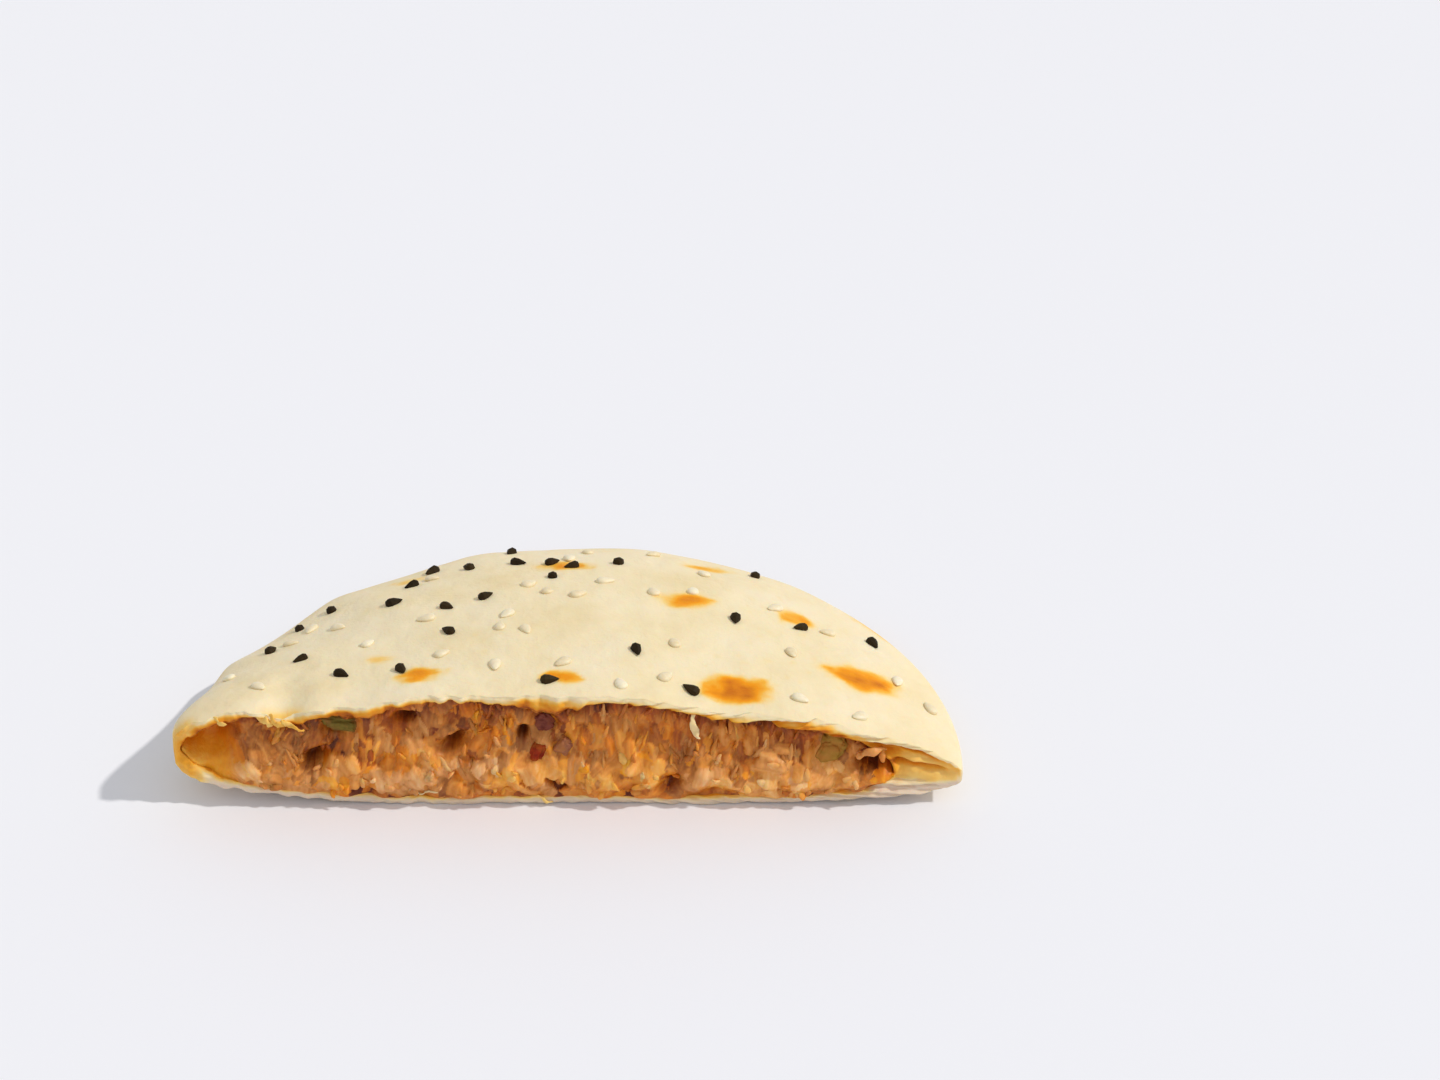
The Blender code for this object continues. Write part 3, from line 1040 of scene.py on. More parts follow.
@dataclass(frozen=True)
class Slit:
    """A slit or crease between folded layers of dough."""

    way_up: float
    start: float
    end: float
    half_width: float
    depth: float
    opening: float = 0.0022
    closing: float = 0.0028
    waver: float = 0.00025
    waver_size: Pair = (0.0025, 1.0)
    waver_step: float = 40

    def share(self, x: Array, way_up: Array, tall: Array) -> Array:
        """How deep it is, as a share of its greatest depth.

        Args:
            x: X of each place.
            way_up: How far up the dough each place lies, from 0 to 1.
            tall: Height of the dough there.

        Returns:
            The share from 0 to 1.
        """
        wave = Grain(self.waver, self.waver_size, self.waver_step * self.way_up).at(x, 0 * x)
        along = Rise(self.start, self.opening).at(x) * Rise(self.end, -self.closing).at(x)
        return bell((way_up - self.way_up) * tall + wave, self.half_width) * along


@dataclass(frozen=True)
class FoldedEnd:
    """The folded layers at the right end of the cut."""

    begin: Rise = Rise(0.0555, 0.0040)
    upper_slit: Slit = Slit(0.87, 0.0600, 0.0712, 0.00034, 0.0018)
    lower_slit: Slit = Slit(0.61, 0.0582, 0.0730, 0.00044, 0.0018)
    creases: tuple[Slit, ...] = (
        Slit(0.27, 0.0570, 0.0690, 0.00030, 0.0007),
        Slit(0.17, 0.0600, 0.0715, 0.00022, 0.0005),
    )
    upper_layer: Rise = Rise(0.61, 0.26)
    lower_layer: Rise = Rise(0.25, 0.36)
    lip: Rise = Rise(0.875, 0.02)
    under_slit: Rise = Rise(0.61, -0.02)
    least_height: float = 1e-4
    falls: Pair = (0.0008, 0.0007)
    threads: Grain = Grain(0.00022, (0.0045, 0.0008), 21.0)
    mouth_end: Rise = Rise(0.0612, 0.0042)
    mouth_foot: Rise = Rise(0.20, 0.12)
    mouth_depth: float = 0.0016
    mottle: Grain = Grain(0.14, (0.0050, 0.0016), 33.0)
    stain_rise: Rise = Rise(0.18, 0.30, 0.25)
    plain_stain: float = 0.08
    upper_stain: float = 0.09
    mouth_stain: float = 0.25
    # The slits are painted darker: painted shade.
    slit_painted_shade: float = 0.42
    lip_stain: float = 0.10
    flour: Rise = Rise(0.30, -0.16)

    def at(self, form: PastryForm, x: Array, height: Array) -> tuple[Array, Array, Array]:
        """What the folds do to the torn front.

        Args:
            form: The pastry's form.
            x: X of each place.
            height: Height of each place.

        Returns:
            How far the dough lies back there, how stained it is, with painted shade in its slits, and how
            floury it is.
        """
        low, high = form.under(x, 0 * x), form.top(x, 0 * x)
        tall = np.maximum(high - low, self.least_height)
        way_up = (height - low) / tall
        upper = self.upper_slit.share(x, way_up, tall)
        lower = self.lower_slit.share(x, way_up, tall)
        in_upper = self.upper_layer.at(way_up)
        inward = 1 - self.lip.at(way_up)
        back = self.falls[0] * in_upper * inward
        back += self.falls[1] * self.lower_layer.at(way_up) * self.under_slit.at(way_up)
        back += upper * self.upper_slit.depth + lower * self.lower_slit.depth
        back += sum(crease.share(x, way_up, tall) * crease.depth for crease in self.creases)
        back += self.threads.at(x, height) * inward
        mouth = (1 - self.mouth_end.at(x)) * inward * self.mouth_foot.at(way_up)
        back += self.mouth_depth * mouth
        stain = self.plain_stain + self.stain_rise.at(way_up) + self.upper_stain * in_upper
        stain = stain + self.mottle.at(x, height) + self.mouth_stain * mouth
        # Painted shade in the slits goes into the stain.
        stain = np.where(inward < 0.5, self.lip_stain, stain) + self.slit_painted_shade * np.maximum(upper, lower)
        flour = self.flour.at(way_up)
        return back * self.begin.at(x), np.clip(stain, 0.0, 1.0) * (1 - flour), flour


@dataclass(frozen=True)
class Toasting:
    """Where both skins are toasted."""

    form: PastryForm
    spots: tuple[Patch, ...] = (
        Patch(-0.0274, 0.0082, 0.0038, 0.0026, 0.62),
        Patch(-0.0360, 0.0165, 0.0030, 0.0022, 0.30),
        Patch(-0.0010, 0.0060, 0.0030, 0.0020, 0.62),
        Patch(0.0324, 0.0076, 0.0060, 0.0038, 1.00),
        Patch(0.0560, 0.0190, 0.0064, 0.0040, 0.85),
        Patch(0.0220, 0.0400, 0.0050, 0.0032, 0.70),
        Patch(0.0440, 0.0400, 0.0034, 0.0030, 0.55),
        Patch(-0.0020, 0.0560, 0.0060, 0.0026, 0.62),
        Patch(0.0260, 0.0620, 0.0046, 0.0024, 0.50),
        Patch(-0.0330, 0.0570, 0.0040, 0.0020, 0.32),
    )
    shift: Grain = Grain(0.0022, (0.0050, 0.0035), 11.3)
    small_shift: Grain = Grain(0.0006, (0.0012, 0.0012), 8.8)
    back_shift: Grain = Grain(0.0016, (0.0042, 0.0042), 12.7)
    core: float = 1.22
    fall: float = 0.80
    haze: float = 0.09
    haze_reach: float = 1.9
    unevenness: Grain = Grain(0.38, (0.0026, 0.0020), 3.6, 0.85)
    freckles: Grain = Grain(1.0, (0.0021, 0.0016), 61.2)
    freckle_edge: Rise = Rise(0.30, 0.25)
    freckle_strength: float = 0.10
    freckle_area: Grain = Grain(1.6, (0.0180, 0.0140), 64.7, 0.4)
    rimless: float = 0.05
    rim_patches: Grain = Grain(1.3, (0.0130, 0.0130), 13.9, 0.25)
    rim_strength: float = 0.42
    rim_reach: float = 0.045
    under_patches: Grain = Grain(1.6, (0.0120, 0.0120), 51.4, -0.25)
    under_tone: Grain = Grain(0.25, (0.0030, 0.0030), 52.9, 0.32)
    under_calm: float = 5

    def top(self, x: Array, depth: Array) -> Array:
        """How toasted the top skin is.

        Args:
            x: X of each place.
            depth: Depth of each place.

        Returns:
            The toast at each place, from 0 to 1.
        """
        bent_x = x + self.shift.at(x, depth) + self.small_shift.at(x, depth)
        bent_depth = depth + self.back_shift.at(x, depth)
        spots, haze = np.zeros_like(x), np.zeros_like(x)
        for spot in self.spots:
            away = spot.away(bent_x, bent_depth)
            spots += spot.strength * smooth_step(self.core - self.fall * away)
            haze += self.haze * spot.strength * bell(away, self.haze_reach)
        freckles = self.freckle_edge.at(self.freckles.at(x, depth))
        freckles = self.freckle_strength * freckles * smooth_step(self.freckle_area.at(x, depth))
        toast = spots * self.unevenness.at(x, depth) + haze + freckles
        calm = smooth_step(self.form.inside(x, depth) / self.rimless)
        return np.clip(toast * calm + self.rim(x, depth), 0.0, 1.0)

    def rim(self, x: Array, depth: Array) -> Array:
        """How toasted both skins are along the rim, in patches."""
        patches = smooth_step(self.rim_patches.at(x, depth))
        return self.rim_strength * patches * np.exp(-self.form.inside(x, depth) / self.rim_reach)

    def under(self, x: Array, depth: Array) -> Array:
        """How toasted the under skin is.

        Args:
            x: X of each place.
            depth: Depth of each place.

        Returns:
            The toast at each place, from 0 to 1.
        """
        patches = smooth_step(self.under_patches.at(x, depth)) * self.under_tone.at(x, depth)
        calm = smooth_step(self.under_calm * self.form.inside(x, depth))
        return np.maximum(patches, 0.0) * calm + self.rim(x, depth)


@dataclass(frozen=True)
class FrontStain:
    """How stained with sauce the torn front is."""

    mottle: Grain = Grain(1.0, (0.0030, 0.0018), 1.9)
    golden: float = 0.15
    golden_mottle: float = 0.14
    golden_rise: float = 1.6
    soaked: float = 0.55
    soaked_mottle: float = 0.6
    seam: float = 0.55
    inner: float = 0.25
    foot: float = 0.45
    foot_mottle: float = 0.1
    flour_fade: float = 0.7
    end: float = 0.34
    end_mottle: float = 0.20
    end_growth: float = 0.18

    def upper(self, share: Array, mottle: Array, soak: Array) -> Array:
        """Stain of the upper dough.

        Args:
            share: How far in from the outer edge each place lies, from 0 to 1.
            mottle: The mottle there.
            soak: How soaked the lips are there.

        Returns:
            The stain of each place.
        """
        soaked = soak * (self.soaked + self.soaked_mottle * mottle)
        golden = self.golden + self.golden_mottle * mottle + soaked
        stain = golden * smooth_step(self.golden_rise * share) + self.seam * share**5
        return stain + self.inner * soak * smooth_step(2 * share)

    def lower(self, share: Array, mottle: Array) -> Array:
        """Stain of the lower dough."""
        return self.foot * share**3 + self.foot_mottle * mottle * share

    def left(self, share: Array, mottle: Array) -> Array:
        """Stain of the dough at the left end."""
        return self.end + self.end_mottle * mottle + self.end_growth * share


@dataclass
class Crust:
    """The dough pocket: outer skins, torn front and the walls of its hollow, as one closed mesh."""

    form: PastryForm
    finish: DoughFinish
    columns: Spacing = Spacing(0.152, (0.00017, 0.00042, 0.00017), (0.005, 0.005))
    skin_rows: Spacing = Spacing(0.078, (0.00038, 0.0016, 0.00022), (0.012, 0.004))
    hollow_rows: Spacing = Spacing(0.074, (0.0005, 0.0040, 0.0008), (0.010, 0.004))
    front_rows: int = 22
    tear_reach: float = 0.006
    tear_at_foot: float = 0.45
    foot_height: float = 0.0060
    fine_fray: Grain = Grain(0.00026, (0.0009, 0.0009), 5.5)
    wrinkles: tuple[Grain, ...] = (
        Grain(0.00020, (0.0040, 0.0032), 2.2),
        Grain(0.00006, (0.0013, 0.0013), 6.1),
    )
    rim_waves: Grain = Grain(0.00040, (0.0042, 0.012), 7.4)
    rim_turn: float = 0.075
    rim_width: float = 0.02
    rim_reach: float = 0.16
    under_bumps: Grain = Grain(0.00014, (0.0030, 0.0030), 3.3)
    relief_rise: float = 6
    ragged: tuple[Grain, ...] = (
        Grain(0.00040, (0.0017, 0.0030), 9.2),
        Grain(0.00025, (0.0007, 0.0020), 4.9),
    )
    ragged_reach: float = 0.0016
    front_relief: Grain = Grain(0.00028, (0.0011, 0.0007), 4.4)
    front_bulge: float = 0.00025
    lips: tuple[Lip, ...] = (
        Lip(-0.0655, 0.0060, 0.0005, 0.58),
        Lip(-0.0525, 0.0050, 0.0004, 0.38),
        Lip(-0.0370, 0.0105, 0.0004, 0.50),
        Lip(-0.0038, 0.0062, 0.0010, 0.58),
        Lip(0.0480, 0.0070, 0.0005, 0.60),
    )
    folds: FoldedEnd = FoldedEnd()
    stain: FrontStain = FrontStain()
    soaked_end: Rise = Rise(-0.0655, -0.0060)
    soaked_skin: Rise = Rise(-0.0665, -0.0060)
    soaked_depth: float = 0.0028
    skin_stain: float = 0.30
    flap_x: float = -0.0525
    flap_width: float = 0.0038
    edge_stain: float = 0.06
    edge_reach: float = 0.0009
    flour_patches: Grain = Grain(0.05, (0.0050, 0.0030), 27.1)
    flour_rise: Rise = Rise(0.03, 0.14)
    pools: Grain = Grain(0.5, (0.0060, 0.0060), 3.7, 0.5)
    pool_stain: float = 0.18
    ceiling_stain: float = 0.62
    floor_stain: float = 0.42

    def front_shift(self, x: Array, height: Array) -> Array:
        """How far the torn front lies behind the plane of the cut, with its finest fraying.

        Args:
            x: X of each place.
            height: Height of each place.

        Returns:
            The distance at each place.
        """
        lip = self.form.lip(height)
        tear = self.form.torn(x, height) - self.form.cut_y + lip + self.fine_fray.at(x, height)
        up = smooth_step(height / self.foot_height)
        return tear * (self.tear_at_foot + (1 - self.tear_at_foot) * up) - lip

    def drawn_forward(
        self, x: Array, depth: Array, height_of: Callable[[Array, Array], Array]
    ) -> tuple[Array, Array]:
        """Draws the first rows of a skin to the torn edge.

        Args:
            x: X of the grid's places.
            depth: Depth of the grid's places.
            height_of: Gives the skin's height at X and depth.

        Returns:
            The new depth and the height of each place.
        """
        shift = self.front_shift(x[0], height_of(x[0], depth[0]))
        moved = depth + shift * np.clip(1 - depth / self.tear_reach, 0.0, 1.0)
        return moved, height_of(x, np.maximum(moved, 0.0))

    def skin(self, x: Array, depth: Array, top: bool) -> Array:
        """Points of an outer skin, its first row drawn to the torn edge.

        Args:
            x: X of the grid's places.
            depth: Depth of the grid's places.
            top: Whether it is the top skin.

        Returns:
            The points.
        """
        moved, height = self.drawn_forward(x, depth, self.form.top if top else self.form.under)
        inside = self.form.inside(x, depth)
        if top:
            fine = sum(wrinkle.at(x, moved) for wrinkle in self.wrinkles)
            waves = self.rim_waves.at(self.form.angle(x, depth) * self.rim_turn, inside * self.rim_width)
            fine += waves * np.exp(-inside / self.rim_reach)
        else:
            fine = np.maximum(0.0, self.under_bumps.at(x, moved))
        height = height + fine * np.minimum(1.0, self.relief_rise * inside)
        return np.stack([x, self.form.cut_y + moved, height], axis=-1)

    def hollow(self, x: Array, depth: Array, ceiling: bool) -> Array:
        """Points of the hollow's ceiling or floor, its first row drawn to the torn edge.

        Args:
            x: X of the grid's places.
            depth: Depth of the grid's places.
            ceiling: Whether it is the ceiling.

        Returns:
            The points.
        """
        side = 1 if ceiling else 0
        moved, height = self.drawn_forward(x, depth, lambda at, back: self.form.cavity(at, back, 0.0)[side])
        if ceiling:
            ragged = sum(part.at(x, moved) for part in self.ragged)
            ragged += sum(lip.hang * lip.share(x) for lip in self.lips)
            taper = np.sqrt(self.form.inside(x, 0 * x))
            height = height - ragged * taper * np.exp(-np.maximum(depth, 0.0) / self.ragged_reach)
        return np.stack([x, self.form.cut_y + moved, height], axis=-1)

    def front(self, outer: Array, inner: Array, upper: bool) -> tuple[Array, dict]:
        """The torn face between an outer and an inner edge.

        Args:
            outer: Points of the outer edge.
            inner: Points of the inner edge.
            upper: Whether it is the top crust's face.

        Returns:
            Rows of points from the outer edge to the inner one, and their attributes.
        """
        share = np.linspace(0.0, 1.0, self.front_rows + 1)[:, None]
        rows = outer + (inner - outer) * share[..., None]
        between = smooth_step(3 * share) * smooth_step(6 * (1 - share))
        x, height = rows[..., 0], rows[..., 2]
        folds, fold_stain, fold_flour = self.folds.at(self.form, x, height)
        rough = self.front_relief.at(x, height) - self.front_bulge * (4 * share * (1 - share))
        rows[..., 1] += between * (rough + folds)
        mottle = self.stain.mottle.at(x, height)
        if upper:
            soak = np.max([lip.soak * lip.share(x) for lip in self.lips], axis=0)
            stain = self.stain.upper(share, mottle, soak)
            flour = np.zeros_like(x)
        else:
            stain = self.stain.lower(share, mottle)
            flour = (1 - self.stain.flour_fade * share**2) * self.floury(x, 0 * x)
        left = self.soaked_end.at(x)
        stain = np.maximum(stain, left * self.stain.left(share, mottle))
        flour = flour * (1 - left)
        right = self.folds.begin.at(x)
        stain = np.clip(stain + (fold_stain - stain) * right, 0.0, 1.0)
        return rows, {"stain": stain, "flour": flour + (fold_flour - flour) * right}

    def floury(self, x: Array, depth: Array) -> Array:
        """How floury the under skin is: not at all at the rim, and fully a little further in."""
        return self.flour_rise.at(self.form.inside(x, depth) + self.flour_patches.at(x, depth))

    def add_skins(self, maker: MeshMaker) -> tuple[Array, Array]:
        """Adds the outer skins.

        Args:
            maker: What they are added to.

        Returns:
            The front edges of the top and the under skin.
        """
        columns, rows = self.columns.both_ways(), self.skin_rows.positions()
        x, depth = self.form.plan(columns, rows, lambda angle: 0 * angle)
        top, under = self.skin(x, depth, True), self.skin(x, depth, False)
        close_rim(top, under)
        toasting = Toasting(self.form)
        flap = np.exp(-(((x - self.flap_x) / self.flap_width) ** 2) - (depth / self.soaked_depth) ** 2)
        edge = self.edge_stain * np.exp(-depth / self.edge_reach)
        end = self.soaked_skin.at(x) * bell(depth, self.soaked_depth)
        stain = edge + self.skin_stain * flap + self.skin_stain * end
        maker.add_grid(top, {"toast": toasting.top(x, depth), "stain": stain})
        flour = self.floury(x, depth) * (1 - end)
        toast = toasting.under(x, depth)
        maker.add_grid(under, {"flour": flour, "toast": toast, "stain": self.skin_stain * end})
        return top[0], under[0]

    def build(self) -> Object:
        """Builds the crust.

        Returns:
            The crust.
        """
        maker = MeshMaker()
        top_edge, under_edge = self.add_skins(maker)
        x, depth = self.form.plan(self.columns.both_ways(), self.hollow_rows.positions(), self.form.wall)
        ceiling, floor = self.hollow(x, depth, True), self.hollow(x, depth, False)
        close_rim(ceiling, floor)
        maker.add_grid(*self.front(top_edge, ceiling[0], True))
        maker.add_grid(*self.front(under_edge, floor[0], False))
        pools = self.pool_stain * self.pools.at(x, depth)
        maker.add_grid(ceiling, {"stain": self.ceiling_stain + pools})
        maker.add_grid(floor, {"stain": self.floor_stain + pools})
        crust = maker.make("crust_dough")
        crust.data.materials.append(self.finish.material())
        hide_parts("crust")
        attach(crust, "root")
        return crust


class SeedKind(Enum):
    """The two kinds of seed on the crust."""

    BLACK = "black_seeds"
    SESAME = "sesame_seeds"


@dataclass
class Seeds:
    """Seeds strewn over the top crust, at the places of the ones fused to the solid."""

    form: PastryForm
    counts: tuple[int, int] = (26, 34)
    spacing: float = 0.0042
    cut_margin: float = 0.0035
    rim_margin: float = 0.10
    sink: float = 0.30
    scales: Pair = (0.90, 1.08)
    draw_seed: int = 55204
    slope_step: float = 0.0005
    shade_spread: float = 7.3
    black: Sprout = Sprout((7, 6), (0.0035, 0.0019, 0.0017), taper=1.35, smooth=False)
    sesame: Sprout = Sprout((12, 9), (0.0035, 0.0023, 0.0012), taper=0.75)
    black_finish: SeedFinish = SeedFinish(
        "black seed coat", (0.009, 0.005, 0.001), (0.046, 0.027, 0.008), Surface(0.62, specular=0.12)
    )
    sesame_finish: SeedFinish = SeedFinish(
        "sesame coat", (0.78, 0.63, 0.37), (0.94, 0.86, 0.66), Surface(0.45, 0.2, (1.0, 0.7, 0.4), 0.0008)
    )

    def places(self) -> list[tuple[float, float, float, float]]:
        """Draws the seeds' places.

        Returns:
            X, depth, turn and size of each seed, the black ones first.
        """
        draw = random.Random(self.draw_seed)
        found: list[tuple[float, float, float, float]] = []
        while len(found) < sum(self.counts):
            angle = draw.uniform(0.0, math.pi)
            reach = float(self.form.outline(np.array(angle))) * math.sqrt(draw.random())
            x = self.form.centre_x + reach * math.cos(angle)
            depth = reach * math.sin(angle)
            turn = draw.uniform(0.0, 2 * math.pi)
            size = draw.uniform(*self.scales)
            inside = float(self.form.inside(np.array(x), np.array(depth)))
            clear = all(math.hypot(x - other[0], depth - other[1]) > self.spacing for other in found)
            if depth > self.cut_margin and inside > self.rim_margin and clear:
                found.append((x, depth, turn, size))
        return found

    def height(self, x: float, depth: float) -> float:
        """Height of the top skin at one place."""
        return float(self.form.top(np.array([x]), np.array([depth]))[0])

    def points(self, places: list, thickness: float) -> dict[str, Array]:
        """Turns places on the skin into points for growing seeds.

        Args:
            places: X, depth, turn and size of each seed.
            thickness: Thickness of a seed of size 1.

        Returns:
            The arrays place, turn, size and shade.
        """
        spots, turns = [], []
        for x, depth, turn, size in places:
            step = self.slope_step
            rise_x = self.height(x + step, depth) - self.height(x - step, depth)
            rise_y = self.height(x, depth + step) - self.height(x, depth - step)
            tip = Vector((0.0, 0.0, 1.0)).rotation_difference(Vector((-rise_x, -rise_y, 2 * step)))
            raised = tip @ Vector((0.0, 0.0, (0.5 - self.sink) * thickness * size))
            spots.append(Vector((x, self.form.cut_y + depth, self.height(x, depth))) + raised)
            turns.append((tip @ Quaternion((0.0, 0.0, 1.0), turn)).to_euler())
        scales = np.array([place[3] for place in places])
        return {
            "place": np.array(spots),
            "turn": np.array(turns),
            "size": np.repeat(scales[:, None], 3, axis=1),
            "shade": np.array([math.modf(place[2] * self.shade_spread)[0] for place in places]),
        }

    def build(self) -> list[Object]:
        """Builds both kinds.

        Returns:
            The black seeds and the sesame seeds, each kind as one piece.
        """
        places = self.places()
        kinds = (
            (SeedKind.BLACK, self.black, self.black_finish, places[: self.counts[0]]),
            (SeedKind.SESAME, self.sesame, self.sesame_finish, places[self.counts[0] :]),
        )
        made = []
        for kind, sprout, finish, own in kinds:
            piece = sprout.grow(kind.value, finish.material(), self.points(own, sprout.sizes[2]))
            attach(piece, "root")
            made.append(piece)
        return made


@dataclass(frozen=True)
class Ribbon:
    """A flat strip that bows out from the plane of the cut, by X and height of both its ends."""

    ends: tuple[float, float, float, float]
    halves: Pair
    looks: Pair
    pattern: float
    rings: int = 26
    sides: int = 16
    sway: Pair = (0.0004, 0.0003)
    sway_turns: Pair = (5, 7)
    root: float = 0.0003
    bow: float = 0.0008
    bow_share: float = 0.8
    tilt: float = 0.35
    bluntness: float = 5
    width_wave: float = 0.35
    width_turns: float = 9.0
    narrowing: float = 0.25
    roughness: float = 0.00032
    coarse: tuple[float, float, float, float] = (0.0016, 0.0, 31.0, 57.0)
    fine: tuple[float, float, float, float] = (0.0006, 11.0, 43.0, 71.0)
    fine_share: float = 0.5
    weld = 2e-6

    def path(self, form: PastryForm, way: Array) -> Array:
        """Points of its middle line.

        Args:
            form: The pastry's form.
            way: How far along it each point lies, from 0 to 1.

        Returns:
            The points.
        """
        x_from, z_from, x_to, z_to = self.ends
        sway_x = self.sway[0] * np.sin(way * self.sway_turns[0] + self.pattern)
        sway_z = self.sway[1] * np.sin(way * self.sway_turns[1] + 2 * self.pattern)
        x = x_from + (x_to - x_from) * way + sway_x
        z = z_from + (z_to - z_from) * way + sway_z
        y = form.torn(x, z) + self.root - self.bow * np.sin(np.pi * way * self.bow_share)
        return np.stack([x, y, z], axis=-1)

    def stray(self, points: Array, kind: tuple[float, float, float, float]) -> Array:
        """Noise along X, Y and Z of the kind: its size, then a pattern for each."""
        size, *patterns = kind
        return np.stack([noise_at(points / size + self.pattern + own) for own in patterns], axis=-1)

    def add_to(self, maker: MeshMaker, form: PastryForm, titles: tuple[str, str]) -> None:
        """Adds the strip's mesh.

        Args:
            maker: What it is added to.
            form: The pastry's form.
            titles: Names of the two values of its finish.
        """
        way = np.linspace(0.0, 1.0, self.rings)
        path = self.path(form, way)
        x_from, z_from, x_to, z_to = self.ends
        across = np.array([z_to - z_from, 0.0, x_from - x_to])
        tilt = self.tilt * math.sin(3 * self.pattern)
        across = across / np.linalg.norm(across) + np.array([0.0, tilt, 0.0])
        along = np.gradient(path, axis=0)
        along /= np.linalg.norm(along, axis=1, keepdims=True)
        side = across - along * (along @ across)[:, None]
        side /= np.linalg.norm(side, axis=1, keepdims=True)
        lift = np.cross(along, side)
        ends = np.sqrt(np.clip(1 - np.abs(2 * way - 1) ** self.bluntness, 0.0, 1.0))[:, None]
        wave = self.width_wave * np.sin(way * self.width_turns + self.pattern)[:, None]
        uneven = 1 + wave - self.narrowing * way[:, None]
        turn = np.linspace(0.0, 2 * math.pi, self.sides, endpoint=False)
        ring = np.cos(turn)[None, :, None] * side[:, None] * self.halves[0] * uneven[..., None]
        ring = ring + np.sin(turn)[None, :, None] * lift[:, None] * self.halves[1]
        points = path[:, None] + ring * ends[..., None]
        shift = self.stray(points, self.coarse) + self.fine_share * self.stray(points, self.fine)
        points = points + shift * self.roughness * ends[..., None]
        maker.add_grid(points, dict(zip(titles, self.looks)), loop=True)


@dataclass
class DoughStrips:
    """Shreds of dough that hang from the torn edge and cross the filling."""

    form: PastryForm
    finish: DoughFinish
    shreds: tuple[Ribbon, ...] = (
        Ribbon((0.0240, 0.0208, 0.0247, 0.0150), (0.00065, 0.00028), (0.16, 0.3), 3.0),
        Ribbon((-0.0574, 0.0203, -0.0548, 0.0183), (0.00080, 0.00026), (0.30, 0.0), 5.0),
        Ribbon((-0.0556, 0.0202, -0.0522, 0.0181), (0.00070, 0.00025), (0.38, 0.0), 1.0),
        Ribbon((-0.0532, 0.0197, -0.0502, 0.0182), (0.00055, 0.00023), (0.28, 0.1), 2.4),
        Ribbon((-0.0524, 0.0194, -0.0488, 0.0173), (0.00040, 0.00022), (0.42, 0.0), 4.1),
        Ribbon((-0.0662, 0.0196, -0.0628, 0.0184), (0.00060, 0.00028), (0.30, 0.0), 7.0),
        Ribbon((-0.0318, 0.0040, -0.0276, 0.0034), (0.00028, 0.00022), (0.10, 0.3), 12.0),
        Ribbon((-0.0290, 0.0030, -0.0240, 0.0036), (0.00025, 0.00020), (0.14, 0.3), 14.0),
        Ribbon((-0.0060, 0.0024, -0.0030, 0.0012), (0.00040, 0.00025), (0.24, 0.3), 15.0),
    )

    def build(self) -> Object:
        """Builds all strips.

        Returns:
            The strips as one piece.
        """
        maker = MeshMaker()
        for shred in self.shreds:
            shred.add_to(maker, self.form, ("stain", "flour"))
        strips = maker.make("dough_strips", Ribbon.weld)
        strips.data.materials.append(self.finish.material())
        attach(strips, "root")
        return strips


# The filling.


@dataclass(frozen=True)
class BundleStyle:
    """How one kind of bundle is drawn. A pair is the limits of an even draw, or a mean and a spread."""

    count: tuple[int, int]
    lean: Pair
    length: Pair
    width: Pair
    bulge: float
    shade: Pair
    stand: float
    kept_at_foot: float
    kept_higher: float
    pitch: float


class BundleKind(Enum):
    """How shreds of tuna lie together: upright long fibres or short curds."""

    FIBRES = BundleStyle(
        count=(3, 6),
        lean=(0.04, 0.30),
        length=(0.0034, 0.0070),
        width=(0.0011, 0.0021),
        bulge=0.00046,
        shade=(0.425, 0.09),
        stand=0.0,
        kept_at_foot=-0.44,
        kept_higher=2.2,
        pitch=0.30,
    )
    CURDS = BundleStyle(
        count=(2, 4),
        lean=(0.0, 0.60),
        length=(0.0028, 0.0052),
        width=(0.0015, 0.0027),
        bulge=0.00072,
        shade=(0.61, 0.08),
        stand=0.0003,
        kept_at_foot=1.6,
        kept_higher=-2.4,
        pitch=0.45,
    )


@dataclass(frozen=True)
class ShredVariety:
    """How the shreds of a bundle differ. A pair is limits of a factor; most other numbers are spreads."""

    overlap: float = 0.82
    place: float = 0.1
    slide: float = 0.22
    lean: float = 0.13
    length: Pair = (0.7, 1.2)
    width: Pair = (0.75, 1.35)
    bend: float = 0.00045
    crown: float = 0.00035
    rise: float = 0.00016
    bulge: Pair = (0.8, 1.3)
    shade: float = 0.06


@dataclass(frozen=True)
class LooseStyle:
    """How loose shreds lie on the face. A pair is the limits of an even draw, or a mean and a spread."""

    foot: float = 0.10
    rise: float = 0.77
    ends: Pair = (-0.0600, 0.0580)
    clearance: float = 1.2
    fibre_lean: Pair = (0.05, 0.35)
    curd_lean: Pair = (-1.5, 1.5)
    outward: tuple[Pair, Pair] = ((0.0, 0.45), (0.1, 0.35))
    sink: Pair = (-0.00025, 0.00020)
    sizes: tuple[Pair, ...] = ((0.55, 1.2), (0.6, 1.4), (0.7, 1.3))
    shade: Pair = (-0.03, 0.10)
    shade_limits: Pair = (0.1, 0.9)
    sauce: Pair = (-0.3, 0.15)


@dataclass(frozen=True)
class Shred:
    """One shred of tuna in the filling's face, seen square to the cut."""

    x: float
    z: float
    lean: float
    length: float
    width: float
    bend: float
    rise: float
    bulge: float
    shade: float
    sauce: float


